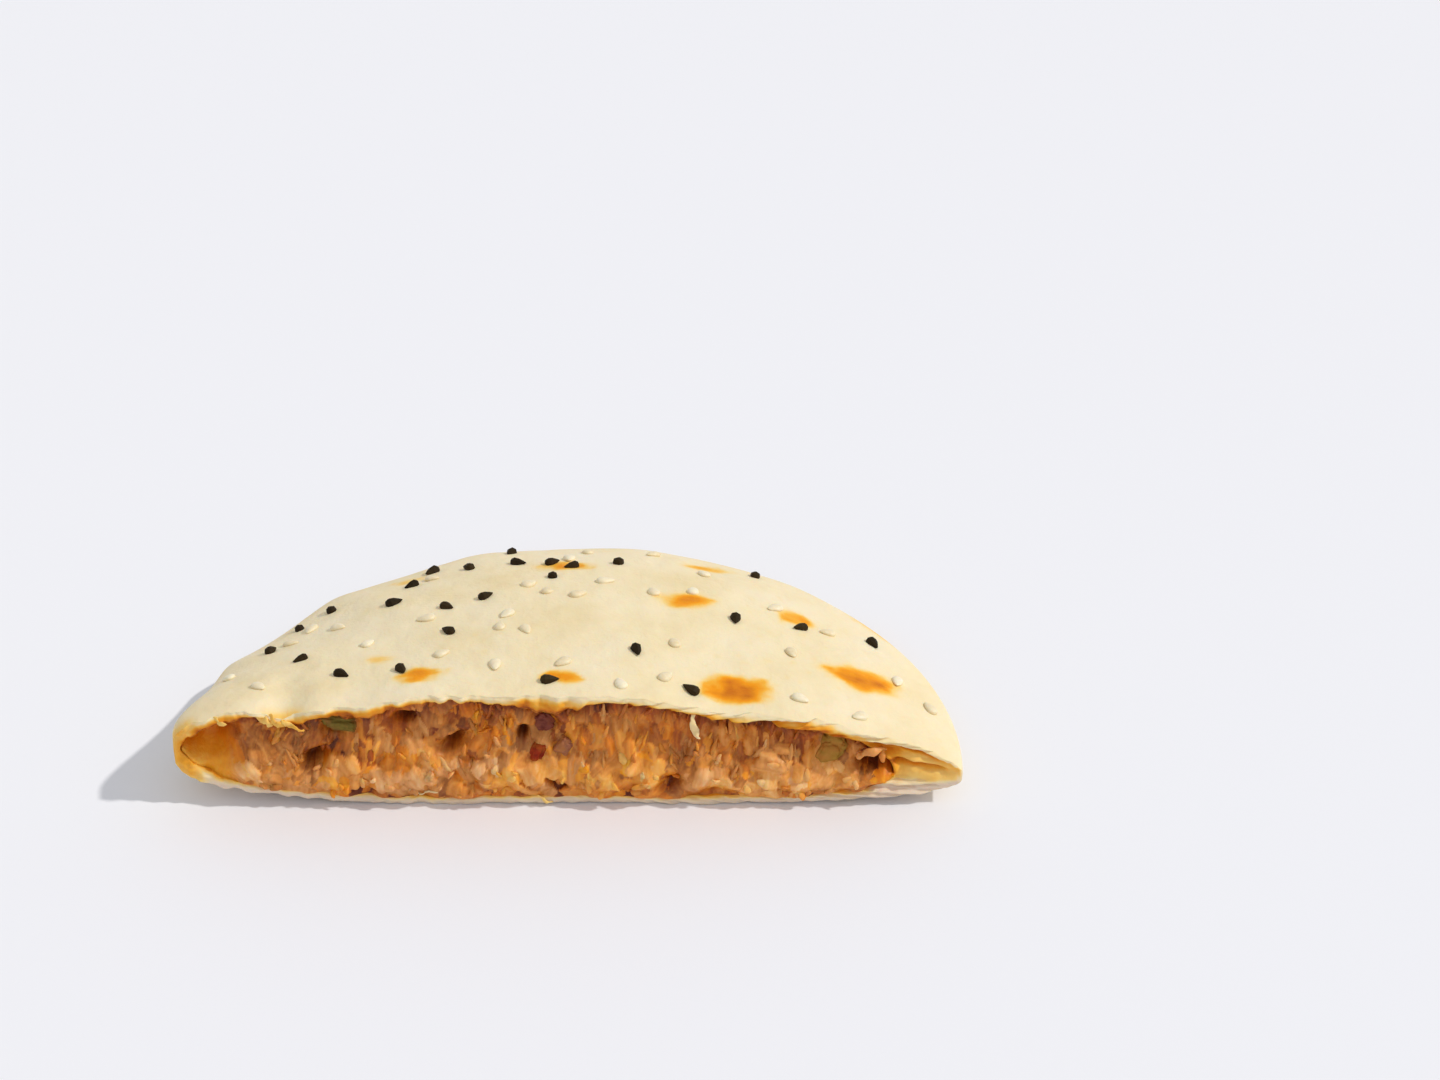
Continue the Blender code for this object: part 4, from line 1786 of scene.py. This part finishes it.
@dataclass
class ShredFace:
    """The relief and colour that overlapping shreds give the filling's face."""

    x: Array
    z: Array
    out: Array
    shade: Array
    sauce: Array
    spare_reach: float = 0.0006
    bluntness: Pair = (1.05, 0.8)
    narrowest: float = 0.05
    slope: float = 0.00012
    # Shreds are painted lighter along their rounded middles and darker to their edges: painted shade.
    round_painted_shade: float = 0.16
    plain_round: float = 0.7
    thread_tone: float = 0.04
    threads: float = 7
    thread_turn: float = 40
    stray_x = (Grain(0.00028, (0.0015, 0.0015), 4.2), Grain(0.00013, (0.0005, 0.0007), 5.1))
    stray_z = (Grain(0.00035, (0.0015, 0.0015), 6.2), Grain(0.00015, (0.0005, 0.0005), 7.1))
    # Where no shred lies, the face sits deep and takes shade 0.15: painted shade in the gaps between shreds.
    bare_looks = (-0.0015, 0.15, 0.4)

    @classmethod
    def bare(cls, x: Array, z: Array) -> "ShredFace":
        """A face without shreds yet, its places shifted a little so that the shreds come out uneven.

        Args:
            x: X of each place.
            z: Height of each place.

        Returns:
            The face.
        """
        bent_x, bent_z = x, z
        for stray_x, stray_z in zip(cls.stray_x, cls.stray_z):
            bent_x = bent_x + stray_x.at(x, z)
            bent_z = bent_z + stray_z.at(x, z)
        return cls(bent_x, bent_z, *(np.full(x.shape, value) for value in cls.bare_looks))

    def lay(self, shred: Shred) -> None:
        """Lays a shred over the face; it shows where it stands out furthest.

        Args:
            shred: The shred.
        """
        reach = 0.5 * (shred.length + shred.width) + abs(shred.bend) + self.spare_reach
        first, last = np.searchsorted(self.x[0], (shred.x - reach, shred.x + reach))
        part = (slice(None), slice(first, last))
        to_x, to_z = self.x[part] - shred.x, self.z[part] - shred.z
        sine, cosine = math.sin(shred.lean), math.cos(shred.lean)
        along = (to_x * sine + to_z * cosine) / (0.5 * shred.length)
        across = to_x * cosine - to_z * sine - shred.bend * along * along
        narrow = np.sqrt(np.clip(self.bluntness[0] - self.bluntness[1] * along**4, self.narrowest, 1.0))
        across = across / (0.5 * shred.width * narrow)
        round_over = np.sqrt(np.clip(1 - across * across, 0.0, 1.0)) * np.clip(1 - along**6, 0.0, 1.0) ** 0.5
        height = shred.rise + shred.bulge * round_over + self.slope * along
        seen = (np.abs(across) < 1) & (np.abs(along) < 1) & (height > self.out[part])
        thread = self.thread_tone * np.cos(self.threads * across + self.thread_turn * shred.bend)
        # Painted shade: lighter where the shred is round and full, darker at its edges; the threads are its
        # own streaks.
        tone = shred.shade + self.round_painted_shade * (round_over - self.plain_round) + thread
        self.out[part] = np.where(seen, height, self.out[part])
        self.shade[part] = np.where(seen, tone, self.shade[part])
        self.sauce[part] = np.where(seen, shred.sauce, self.sauce[part])

    def soften(self, rounds: int) -> None:
        """Rounds off the shreds' edges.

        Args:
            rounds: How often each place's relief is spread over its neighbours.
        """
        for _ in range(rounds):
            for side in (self.out, self.out.T):
                side[1:-1] = (side[:-2] + 2 * side[1:-1] + side[2:]) / 4


@dataclass(frozen=True)
class FaceTone:
    """What changes the shade and the sauce of the filling's face apart from its shreds, painted light and
    shade among it.
    """

    blotches: tuple[Grain, Grain] = (
        Grain(0.09, (0.0060, 0.0085), 17.3),
        Grain(0.05, (0.0022, 0.0035), 19.8),
    )
    hollow_depth: float = 0.0040
    hollow_limits: Pair = (-0.2, 1.3)
    # Hollows in the face are painted darker, painted shade, and take more sauce too.
    hollow_painted_shade: float = 0.36
    # Gaps between shreds are painted darker: painted shade.
    gap_painted_shade: float = 0.24
    # The band of the face under the crust's lip, darkened with painted shade; it takes more sauce as well.
    under_lip_band: Rise = Rise(0.80, 0.20)
    under_lip_painted_shade: float = 0.30
    dark_by_bit: float = 0.08
    pale_low: float = 0.10
    # Painted shade over the recessed upper face.
    upper_painted_shade: Rise = Rise(0.30, 0.40, 0.05)
    # Darker at the foot: juice soaks it, and painted shade where the filling meets the under crust.
    foot_juice_and_painted_shade: Rise = Rise(0.18, -0.12, 0.21)
    # Painted shade in the recessed corner by the folded end, above the foot.
    right_corner_painted_shade: Rise = Rise(0.0545, 0.0035, 0.16)
    right_foot: Rise = Rise(0.25, 0.3)
    dark_end: Rise = Rise(0.0565, 0.0025, 0.17)
    # In the open pocket the shade is painted: painted shade under the ceiling, painted light towards the
    # foot and the far left end.
    pocket_shade: float = 0.24
    pocket_painted_light: float = 0.46
    pocket_fall: float = 1.15
    pocket_end_painted_light: Rise = Rise(-0.0640, -0.0060, 0.12)
    pocket_shreds: float = 0.10
    middle_shade: float = 0.4
    hollow_sauce: float = 0.30
    brow_sauce: float = 0.2
    sauce_patches: Grain = Grain(0.28, (0.0050, 0.0070), 23.6)
    end_sauce: Rise = Rise(0.0575, 0.0030, 0.06)


@dataclass
class Filling:
    """The shredded tuna: a closed body with a face of overlapping shreds, and loose ones that stand out.

    Attributes:
        levels: Number of bundles, how far they stand out and what is added to their tone, deepest first;
            that tone is painted shade, darker for deeper bundles and lighter for prouder ones.
        slants: How far each hole of the form moves right and up, and the slant of the gap it becomes.
        bits: The face round each vegetable bit, and how far the shreds sink in there.
    """

    form: PastryForm
    finish: TunaFinish
    columns: Spacing = Spacing(0.134, (0.00018, 0.00023, 0.00018), (0.004, 0.004))
    face_rows: int = 84
    face_arc: Pair = (0.07, 0.93)
    back_rows: Spacing = Spacing(0.072, (0.0012, 0.0070, 0.0014), (0.008, 0.004))
    back_reach: float = 0.012
    back_looks: Pair = (0.35, 0.6)
    face_start: float = -0.0715
    face_length: float = 0.1345
    # The last number of each level is painted shade: deeper bundles darker, prouder ones lighter.
    levels: tuple[Triple, ...] = (
        (240, -0.00080, -0.07),
        (220, -0.00040, 0.0),
        (140, 0.00005, 0.05),
        (36, 0.00035, 0.12),
    )
    curd_height: Pair = (0.22, 0.56)
    bundle_sauce: Pair = (0.40, 0.28)
    variety: ShredVariety = ShredVariety()
    furthest_out: float = 0.0012
    softness: int = 1
    fit: float = -0.00006
    draw_seed: int = 23
    tone: FaceTone = FaceTone()
    pocket: Rise = Rise(-0.0600, -0.0050)
    calm_edge: float = 7
    calm_pocket: float = 0.85
    calm_bit: float = 0.45
    calm_hole: float = 0.6
    right_end: Rise = Rise(0.0575, 0.0040, 0.0014)
    slants: tuple[Triple, ...] = (
        (0.0006, -0.0008, 0.70),
        (0.0014, 0.0002, 0.65),
        (0.0, 0.0, 0.15),
        (0.0, 0.0, 1.30),
        (0.0, 0.0, 0.50),
        (0.0, 0.0, -0.50),
        (0.0, 0.0, 0.30),
    )
    gap_shape: Pair = (1.15, 0.60)
    pits: tuple[Pit, ...] = (
        Pit(-0.0138, 0.0190, 0.0009, 0.0012),
        Pit(-0.0122, 0.0119, 0.0010, 0.0014),
        Pit(-0.0029, 0.0050, 0.0009, 0.0012),
        Pit(0.0275, 0.0042, 0.0020, 0.0012),
    )
    bits: tuple[Patch, ...] = (
        Patch(-0.0422, 0.0172, 0.0040, 0.0020, 0.00110),
        Patch(0.0496, 0.0103, 0.0034, 0.0044, 0.00115),
        Patch(-0.0043, 0.0177, 0.0024, 0.0026, 0.00040),
        Patch(-0.0004, 0.0131, 0.0020, 0.0024, 0.00065),
        Patch(-0.0054, 0.0117, 0.0018, 0.0028, 0.00015),
    )
    loose_style: LooseStyle = LooseStyle()
    loose_flakes: int = 80
    loose_strands: int = 120
    flake: Sprout = Sprout(
        (8, 6), (0.0028, 0.0013, 0.0007), taper=0.3, bend=0.0014, roughen=0.0010, roughen_size=0.0014
    )
    strand: Sprout = Sprout(
        (6, 9), (0.0044, 0.00085, 0.00055), taper=0.4, bend=0.0012, roughen=0.0009, roughen_size=0.0016
    )
    curls: tuple[Ribbon, ...] = (
        Ribbon((0.0540, 0.0113, 0.0598, 0.0127), (0.00085, 0.00060), (0.66, 0.15), 8.0),
        Ribbon((0.0601, 0.0125, 0.0592, 0.0100), (0.00055, 0.00045), (0.56, 0.35), 9.0),
    )

    def middle_heights(self, x: float) -> Pair:
        """Lowest and highest point of the face at one X."""
        low, high = self.form.cavity(np.array([x]), np.zeros(1), self.form.clearance)
        return float(low[0]), float(high[0])

    def bundle(
        self, draw: random.Random, kind: BundleKind, level: float, tone: float, at: Pair
    ) -> list[Shred]:
        """A bundle of shreds that lie side by side.

        Args:
            draw: Source of the draws.
            kind: Long fibres or short curds.
            level: How far the bundle stands out.
            tone: Added to its shade: painted shade, darker for deeper bundles and lighter for prouder ones.
            at: X and height of its middle.

        Returns:
            Its shreds.
        """
        style, vary = kind.value, self.variety
        count, lean = draw.randint(*style.count), draw.gauss(*style.lean)
        length, width = draw.uniform(*style.length), draw.uniform(*style.width)
        shade = draw.gauss(*style.shade) + tone
        sauce = min(1.0, max(0.0, draw.gauss(*self.bundle_sauce)))
        shreds = []
        for order in range(count):
            place = 2 * order / (count - 1) - 1
            offset = place * (count - 1) / 2 * width * vary.overlap + draw.gauss(0.0, vary.place * width)
            slide = draw.gauss(0.0, vary.slide * length)
            shreds.append(
                Shred(
                    at[0] + offset * math.cos(lean) + slide * math.sin(lean),
                    at[1] - offset * math.sin(lean) + slide * math.cos(lean),
                    lean + draw.gauss(0.0, vary.lean),
                    length * draw.uniform(*vary.length),
                    width * draw.uniform(*vary.width),
                    draw.gauss(0.0, vary.bend),
                    level + vary.crown * (1 - place * place) + draw.gauss(0.0, vary.rise),
                    style.bulge * draw.uniform(*vary.bulge),
                    shade + draw.gauss(0.0, vary.shade),
                    sauce,
                )
            )
        return shreds

    def shreds(self) -> list[Shred]:
        """Draws all shreds of the face.

        Returns:
            The shreds, the deepest first.
        """
        draw = random.Random(self.draw_seed)
        found: list[Shred] = []
        for count, level, tone in self.levels:
            for index in range(count):
                x = self.face_start + self.face_length * (index + draw.random()) / count
                low, high = self.middle_heights(x)
                share = draw.random()
                kind = BundleKind.FIBRES if share > draw.uniform(*self.curd_height) else BundleKind.CURDS
                place = (x, low + (high - low) * share)
                found += self.bundle(draw, kind, level + kind.value.stand, tone, place)
        return found

    def slant_holes(self, x: Array, z: Array) -> tuple[Array, Array]:
        """Turns the face's round holes into slanted gaps between shreds.

        Args:
            x: X of each place.
            z: Height of each place.

        Returns:
            How much deeper the face becomes, and how far each place lies in a gap, from 0 to 1.
        """
        deeper, gaps = np.zeros_like(x), np.zeros_like(x)
        for hole, (right, raised, slant) in zip(self.form.holes, self.slants):
            to_x, to_z = x - hole.x - right, z - hole.z - raised
            along = to_x * math.cos(slant) + to_z * math.sin(slant)
            across = to_z * math.cos(slant) - to_x * math.sin(slant)
            gap = bell(np.hypot(along / self.gap_shape[0], across / self.gap_shape[1]), hole.radius)
            deeper += hole.depth * (gap - hole.share(x, z))
            gaps = np.maximum(gaps, gap)
        return deeper, gaps

    def front(self, x: Array, z: Array) -> tuple[Array, Array, Array]:
        """Y, shade and sauce of the craggy face.

        Args:
            x: X of each place.
            z: Height of each place.

        Returns:
            Y, shade from 0 to 1 and sauce from 0 to 1.
        """
        face = ShredFace.bare(x, z)
        for shred in self.shreds():
            face.lay(shred)
        face.soften(self.softness)
        share = self.form.face_share(x, z)
        pocket = self.pocket.at(x)
        calm = smooth_step(self.calm_edge * share) * smooth_step(self.calm_edge * (1 - share))
        calm = calm * (1 - self.calm_pocket * pocket)
        pits = sum(pit.at(x, z) for pit in self.pits)
        slanted, holes = self.slant_holes(x, z)
        smooth = self.form.face(x, z) + slanted + pits + self.right_end.at(x)
        by_bit, sunk = np.zeros_like(x), np.zeros_like(x)
        for bit in self.bits:
            near = bell(bit.away(x, z), 1.0)
            by_bit = np.maximum(by_bit, near)
            sunk = np.maximum(sunk, bit.strength * smooth_step(2 * near))
        out = np.minimum(face.out, self.furthest_out) * (1 - self.calm_bit * smooth_step(2 * by_bit))
        out = out * (1 - self.calm_hole * holes) - sunk
        # How far each place lies back in a hollow; it sets the painted shade and the extra sauce there.
        lean_back = self.form.face_foot + self.form.face_lean * smooth_step(share)
        hollow = (smooth - self.form.cut_y - lean_back) / self.tone.hollow_depth
        hollow = np.clip(hollow, *self.tone.hollow_limits) * (1 - pocket)
        shade = self.shade(face, (x, z, share), (hollow, holes, by_bit), pocket)
        sauce = self.sauce(face, (x, z, share), hollow)
        return smooth - out * calm, np.clip(shade, 0.0, 1.0), np.clip(np.maximum(sauce, pocket), 0.0, 1.0)

    def shade(self, face: ShredFace, where: tuple, near: tuple, pocket: Array) -> Array:
        """Shade of the face, with painted shade in hollows, gaps, under the lip, over the upper face, at the
        foot and in the right corner, and painted light and shade in the pocket.

        Args:
            face: The shreds' relief and colour.
            where: X, height and way up of each place.
            near: How far each place lies in a hollow, in a gap and by a vegetable bit.
            pocket: How far it lies in the open pocket.

        Returns:
            The shade of each place.
        """
        tone = self.tone
        x, z, share = where
        hollow, holes, by_bit = near
        blotch = tone.blotches[0].at(x, z) + tone.blotches[1].at(x, z)
        # Painted shade in the face's hollows and in the gaps between shreds.
        shade = face.shade + blotch - tone.hollow_painted_shade * hollow - tone.gap_painted_shade * holes
        # Painted shade under the crust's lip.
        shade = shade - tone.under_lip_painted_shade * tone.under_lip_band.at(share) - tone.dark_by_bit * by_bit
        # Paler towards the foot, and painted shade over the recessed upper face.
        shade += tone.pale_low * (1 - smooth_step(2 * share)) - tone.upper_painted_shade.at(share)
        # Juice and painted shade at the foot.
        shade -= tone.foot_juice_and_painted_shade.at(share)
        # Painted shade in the right corner.
        shade -= tone.right_corner_painted_shade.at(x) * tone.right_foot.at(share)
        shade -= tone.dark_end.at(x)
        # The pocket's tone is painted light and shade: dark under the ceiling, lighter towards its foot and
        # its far left end, with a little of the shreds' own tone.
        wet = tone.pocket_shade + tone.pocket_painted_light * smooth_step(tone.pocket_fall * (1 - share))
        wet = wet + tone.pocket_end_painted_light.at(x) + tone.pocket_shreds * (face.shade - tone.middle_shade)
        return shade + (wet - shade) * pocket

    def sauce(self, face: ShredFace, where: tuple, hollow: Array) -> Array:
        """Sauce of the face.

        Args:
            face: The shreds' relief and colour.
            where: X, height and way up of each place.
            hollow: How far each place lies in a hollow.

        Returns:
            The sauce at each place.
        """
        tone = self.tone
        x, z, share = where
        sauce = face.sauce + tone.hollow_sauce * np.maximum(hollow, 0.0)
        sauce = sauce + tone.brow_sauce * tone.under_lip_band.at(share)
        return sauce + (tone.sauce_patches.at(x, z) + tone.end_sauce.at(x))

    def grids(self) -> dict[str, Array]:
        """The grids of the body.

        Returns:
            Points of the face and of the skins behind it, "low" and "high", and the face's shade and sauce.
        """
        columns, rows = self.columns.both_ways(), self.back_rows.positions()
        x, depth = self.form.plan(columns, rows, lambda angle: self.form.wall(angle) + self.fit)
        low, high = self.form.cavity(x, depth, self.fit)
        close_rim(low, high)
        share = 0.5 - 0.5 * np.cos(np.linspace(*self.face_arc, self.face_rows + 1) * math.pi)
        share = ((share - share[0]) / (share[-1] - share[0]))[:, None]
        face_x = np.broadcast_to(x[0], (len(share), len(columns)))
        face_z = low[0] + (high[0] - low[0]) * share
        face_y, shade, sauce = self.front(face_x, face_z)
        return {
            "face": np.stack([face_x, face_y, face_z], axis=-1),
            "shade": shade,
            "sauce": sauce,
            "low": self.back_skin(x, depth, low, face_y[0]),
            "high": self.back_skin(x, depth, high, face_y[-1]),
        }

    def curl(self, material: Material) -> Object:
        """The curled flake in front of the hollow by the folded layers.

        Args:
            material: The tuna's material.

        Returns:
            The flake.
        """
        maker = MeshMaker()
        for flake in self.curls:
            flake.add_to(maker, self.form, ("shade", "sauce"))
        curl = maker.make("tuna_curl", Ribbon.weld)
        curl.data.materials.append(material)
        return curl

    def back_skin(self, x: Array, depth: Array, height: Array, edge: Array) -> Array:
        """Points of the lower or the upper side behind the face, whose edge the first row joins."""
        moved = depth + (edge - self.form.cut_y) * np.clip(1 - depth / self.back_reach, 0.0, 1.0)
        return np.stack([x, self.form.cut_y + moved, height], axis=-1)

    def loose(self, count: int, draw: random.Random, grids: dict, kind: BundleKind) -> dict[str, Array]:
        """Places for loose shreds on the face.

        Args:
            count: How many.
            draw: Source of the draws.
            grids: The body's grids.
            kind: Long fibres or short curds.

        Returns:
            The arrays place, turn, size, shade and sauce.
        """
        face, look, style = grids["face"], self.loose_style, kind.value
        found: dict[str, list] = {"place": [], "turn": [], "size": [], "shade": [], "sauce": []}
        while len(found["place"]) < count:
            share = draw.random()
            keep = smooth_step(np.array(style.kept_at_foot + style.kept_higher * share))
            row = round((look.foot + look.rise * share) * (len(face) - 1))
            column = draw.randrange(face.shape[1])
            spot = face[row, column]
            covers = any(bit.away(spot[0], spot[2]) < look.clearance for bit in self.bits)
            if covers or draw.random() > keep or not look.ends[0] < spot[0] < look.ends[1]:
                continue
            upright = kind is BundleKind.FIBRES
            lean = draw.gauss(*look.fibre_lean) if upright else draw.uniform(*look.curd_lean)
            pitch = draw.gauss(0.0, style.pitch)
            flat = math.cos(pitch)
            along = Vector((math.sin(lean) * flat, -math.sin(pitch), math.cos(lean) * flat))
            outward = Vector((draw.gauss(*look.outward[0]), -1.0, draw.gauss(*look.outward[1])))
            side = outward.cross(along).normalized()
            turn = Matrix((along, side, along.cross(side))).transposed().to_euler()
            shade, sauce = grids["shade"][row, column], grids["sauce"][row, column]
            found["place"].append((spot[0], spot[1] - draw.uniform(*look.sink), spot[2]))
            found["turn"].append(tuple(turn))
            found["size"].append(tuple(draw.uniform(*limits) for limits in look.sizes))
            found["shade"].append(np.clip(shade + draw.uniform(*look.shade), *look.shade_limits))
            found["sauce"].append(np.clip(sauce + draw.uniform(*look.sauce), 0.0, 1.0))
        return {title: np.array(values) for title, values in found.items()}

    def build(self) -> list[Object]:
        """Builds the body and its loose shreds.

        Returns:
            The body, the flakes, the strands and the curl.
        """
        material = self.finish.material()
        grids = self.grids()
        maker = MeshMaker()
        maker.add_grid(grids["face"], {"shade": grids["shade"], "sauce": grids["sauce"]})
        for side in ("low", "high"):
            maker.add_grid(grids[side], dict(zip(("shade", "sauce"), self.back_looks)))
        body = maker.make("tuna_filling")
        body.data.materials.append(material)
        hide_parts("filling")
        draw = random.Random(self.draw_seed + 1)
        curds = self.loose(self.loose_flakes, draw, grids, BundleKind.CURDS)
        flakes = self.flake.grow("tuna_flakes", material, curds)
        fibres = self.loose(self.loose_strands, draw, grids, BundleKind.FIBRES)
        strands = self.strand.grow("tuna_strands", material, fibres)
        made = [body, flakes, strands, self.curl(material)]
        for piece in made:
            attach(piece, "root")
        return made


# Vegetable pieces in the filling's face.


@dataclass(frozen=True)
class VegetableBit:
    """One piece of vegetable, at the place and of the form of its solid."""

    node: str
    x: float
    height: float
    size: Triple
    turn: float
    order: int
    finish: VegetableFinish
    stand_out: float = 0.0007
    squareness: float = 0.58
    unevenness: float = 0.30
    bumps: float = 1.3
    small_unevenness: float = 0.10
    small_bumps: float = 4.1
    small_pattern: float = 5.0

    def build(self, form: PastryForm) -> Object:
        """Builds the piece.

        Args:
            form: The pastry's form, which gives the face it is set into.

        Returns:
            The piece.
        """
        bm = bmesh.new()
        bmesh.ops.create_icosphere(bm, subdivisions=5, radius=1.0)
        face_y = float(form.face(np.array([self.x]), np.array([self.height]))[0])
        middle = Vector((self.x, face_y + self.size[1] / 2 - self.stand_out, self.height))
        rotation = Quaternion((0.0, 1.0, 0.0), math.radians(self.turn))
        for vertex in bm.verts:
            unit = vertex.co.copy()
            bump = 1 + self.unevenness * noise.noise(unit * self.bumps + Vector((self.order, 0.0, 0.0)))
            small = unit * self.small_bumps + Vector((self.order, self.small_pattern, 0.0))
            bump += self.small_unevenness * noise.noise(small)
            spot = Vector(
                math.copysign(abs(unit[axis]) ** self.squareness, unit[axis]) * bump * self.size[axis] / 2
                for axis in range(3)
            )
            vertex.co = middle + rotation @ spot
        for face in bm.faces:
            face.smooth = True
        mesh = bpy.data.meshes.new(f"{self.node}_bit")
        bm.to_mesh(mesh)
        bm.free()
        bit = link(bpy.data.objects.new(f"{self.node}_bit", mesh))
        bit.data.materials.append(self.finish.material())
        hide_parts(self.node)
        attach(bit, "root")
        return bit


# The left green pepper's dark green flesh is darkened further with painted shade from the crust's lip.
GREEN = VegetableFinish(
    "green pepper flesh with painted shade",
    Vegetable.GREEN_PEPPER,
    dark=(0.115, 0.083, 0.010),
    light=(0.25, 0.18, 0.030),
    sauce=(0.28, 0.13, 0.03),
)
OLIVE = VegetableFinish(
    "olive pepper flesh",
    Vegetable.GREEN_PEPPER,
    dark=(0.30, 0.150, 0.013),
    light=(0.46, 0.255, 0.042),
    sauce=(0.48, 0.20, 0.035),
)
PURPLE = VegetableFinish(
    "purple onion flesh",
    Vegetable.ONION,
    dark=(0.13, 0.022, 0.013),
    light=(0.28, 0.080, 0.050),
    sauce=(0.30, 0.08, 0.02),
)
MAUVE = VegetableFinish(
    "mauve onion flesh",
    Vegetable.ONION,
    dark=(0.26, 0.080, 0.038),
    light=(0.42, 0.175, 0.090),
    sauce=(0.44, 0.16, 0.04),
)
RED = VegetableFinish(
    "red pepper flesh",
    Vegetable.RED_PEPPER,
    dark=(0.20, 0.012, 0.002),
    light=(0.40, 0.040, 0.006),
    sauce=(0.36, 0.08, 0.008),
)
BITS = (
    VegetableBit("green_pepper_left", -0.0422, 0.0172, (0.0070, 0.0040, 0.0029), 6, 0, GREEN),
    VegetableBit("green_pepper_right", 0.0496, 0.0103, (0.0058, 0.0042, 0.0078), 24, 1, OLIVE),
    VegetableBit("onion_piece_upper", -0.0043, 0.0177, (0.0037, 0.0036, 0.0040), -30, 2, PURPLE),
    VegetableBit("onion_piece_lower", -0.0004, 0.0131, (0.0030, 0.0036, 0.0040), 35, 3, MAUVE),
    VegetableBit("red_pepper_piece", -0.0054, 0.0117, (0.0028, 0.0036, 0.0047), 18, 4, RED),
)


# The studio.


@dataclass
class Studio:
    """Pale floor, soft light and the camera at the photograph's viewing angle."""

    floor_colour: Colour = (0.885, 0.89, 0.935)
    floor_reach: float = 8.0
    floor_surface: Surface = Surface(0.6, specular=0.2)
    sky_colour: Colour = (0.955, 0.97, 1.0)
    sky_strength: float = 0.61
    sun_travel: Colour = (-0.99, 0.06, -1.0)
    sun_colour: Colour = (1.0, 0.97, 0.92)
    sun_strength: float = 1.82
    sun_spread: float = math.radians(2.6)
    elevation: float = math.radians(34.0)
    distance: float = 0.645
    focal_mm: float = 85.0
    sensor_mm: float = 36.0
    seen_from: float = 0.01
    seen_to: float = 100.0
    aim_right: float = 0.0289
    aim_up: float = 0.0497

    def build(self, form: PastryForm) -> None:
        """Builds the floor, the lights and the camera.

        Args:
            form: The pastry's form, which gives the plane of the cut.
        """
        mesh = bpy.data.meshes.new("floor")
        reach = self.floor_reach
        corners = [(-reach, -reach, 0.0), (reach, -reach, 0.0), (reach, reach, 0.0), (-reach, reach, 0.0)]
        mesh.from_pydata(corners, [], [(0, 1, 2, 3)])
        floor = link(bpy.data.objects.new("floor", mesh))
        material, _, shader = self.floor_surface.shader("pale floor")
        shader.inputs["Base Color"].default_value = (*self.floor_colour, 1.0)
        floor.data.materials.append(material)
        world = bpy.data.worlds.new("soft studio light")
        world.use_nodes = True
        background = world.node_tree.nodes["Background"]
        background.inputs["Color"].default_value = (*self.sky_colour, 1.0)
        background.inputs["Strength"].default_value = self.sky_strength
        bpy.context.scene.world = world
        lamp = bpy.data.lights.new("key light", "SUN")
        lamp.energy = self.sun_strength
        lamp.color = self.sun_colour
        lamp.angle = self.sun_spread
        key = link(bpy.data.objects.new("key light", lamp))
        key.rotation_mode = "QUATERNION"
        key.rotation_quaternion = Vector(self.sun_travel).to_track_quat("-Z", "Y")
        bpy.context.scene.view_settings.view_transform = "Standard"
        back = Vector((0.0, -math.cos(self.elevation), math.sin(self.elevation)))
        up = Vector((0.0, math.sin(self.elevation), math.cos(self.elevation)))
        aim = Vector((self.aim_right, form.cut_y, 0.0)) + up * self.aim_up
        lens = bpy.data.cameras.new("camera")
        lens.lens = self.focal_mm
        lens.sensor_width = self.sensor_mm
        lens.clip_start = self.seen_from
        lens.clip_end = self.seen_to
        camera = link(bpy.data.objects.new("camera", lens))
        camera.location = aim + back * self.distance
        camera.rotation_mode = "QUATERNION"
        camera.rotation_quaternion = (-back).to_track_quat("-Z", "Y")
        bpy.context.scene.camera = camera


def main() -> None:
    """Builds every piece in order and reports it."""
    logging.basicConfig(level=logging.INFO, format="%(message)s")
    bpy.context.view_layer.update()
    form = PastryForm()
    dough = DoughFinish()
    made = [Crust(form, dough).build()]
    made += Seeds(form).build()
    made.append(DoughStrips(form, dough).build())
    made += Filling(form, TunaFinish()).build()
    made += [bit.build(form) for bit in BITS]
    Studio().build(form)
    for piece in made:
        LOG.info("%s: %d faces", piece.name, len(piece.data.polygons))


if __name__ == "__main__":
    main()
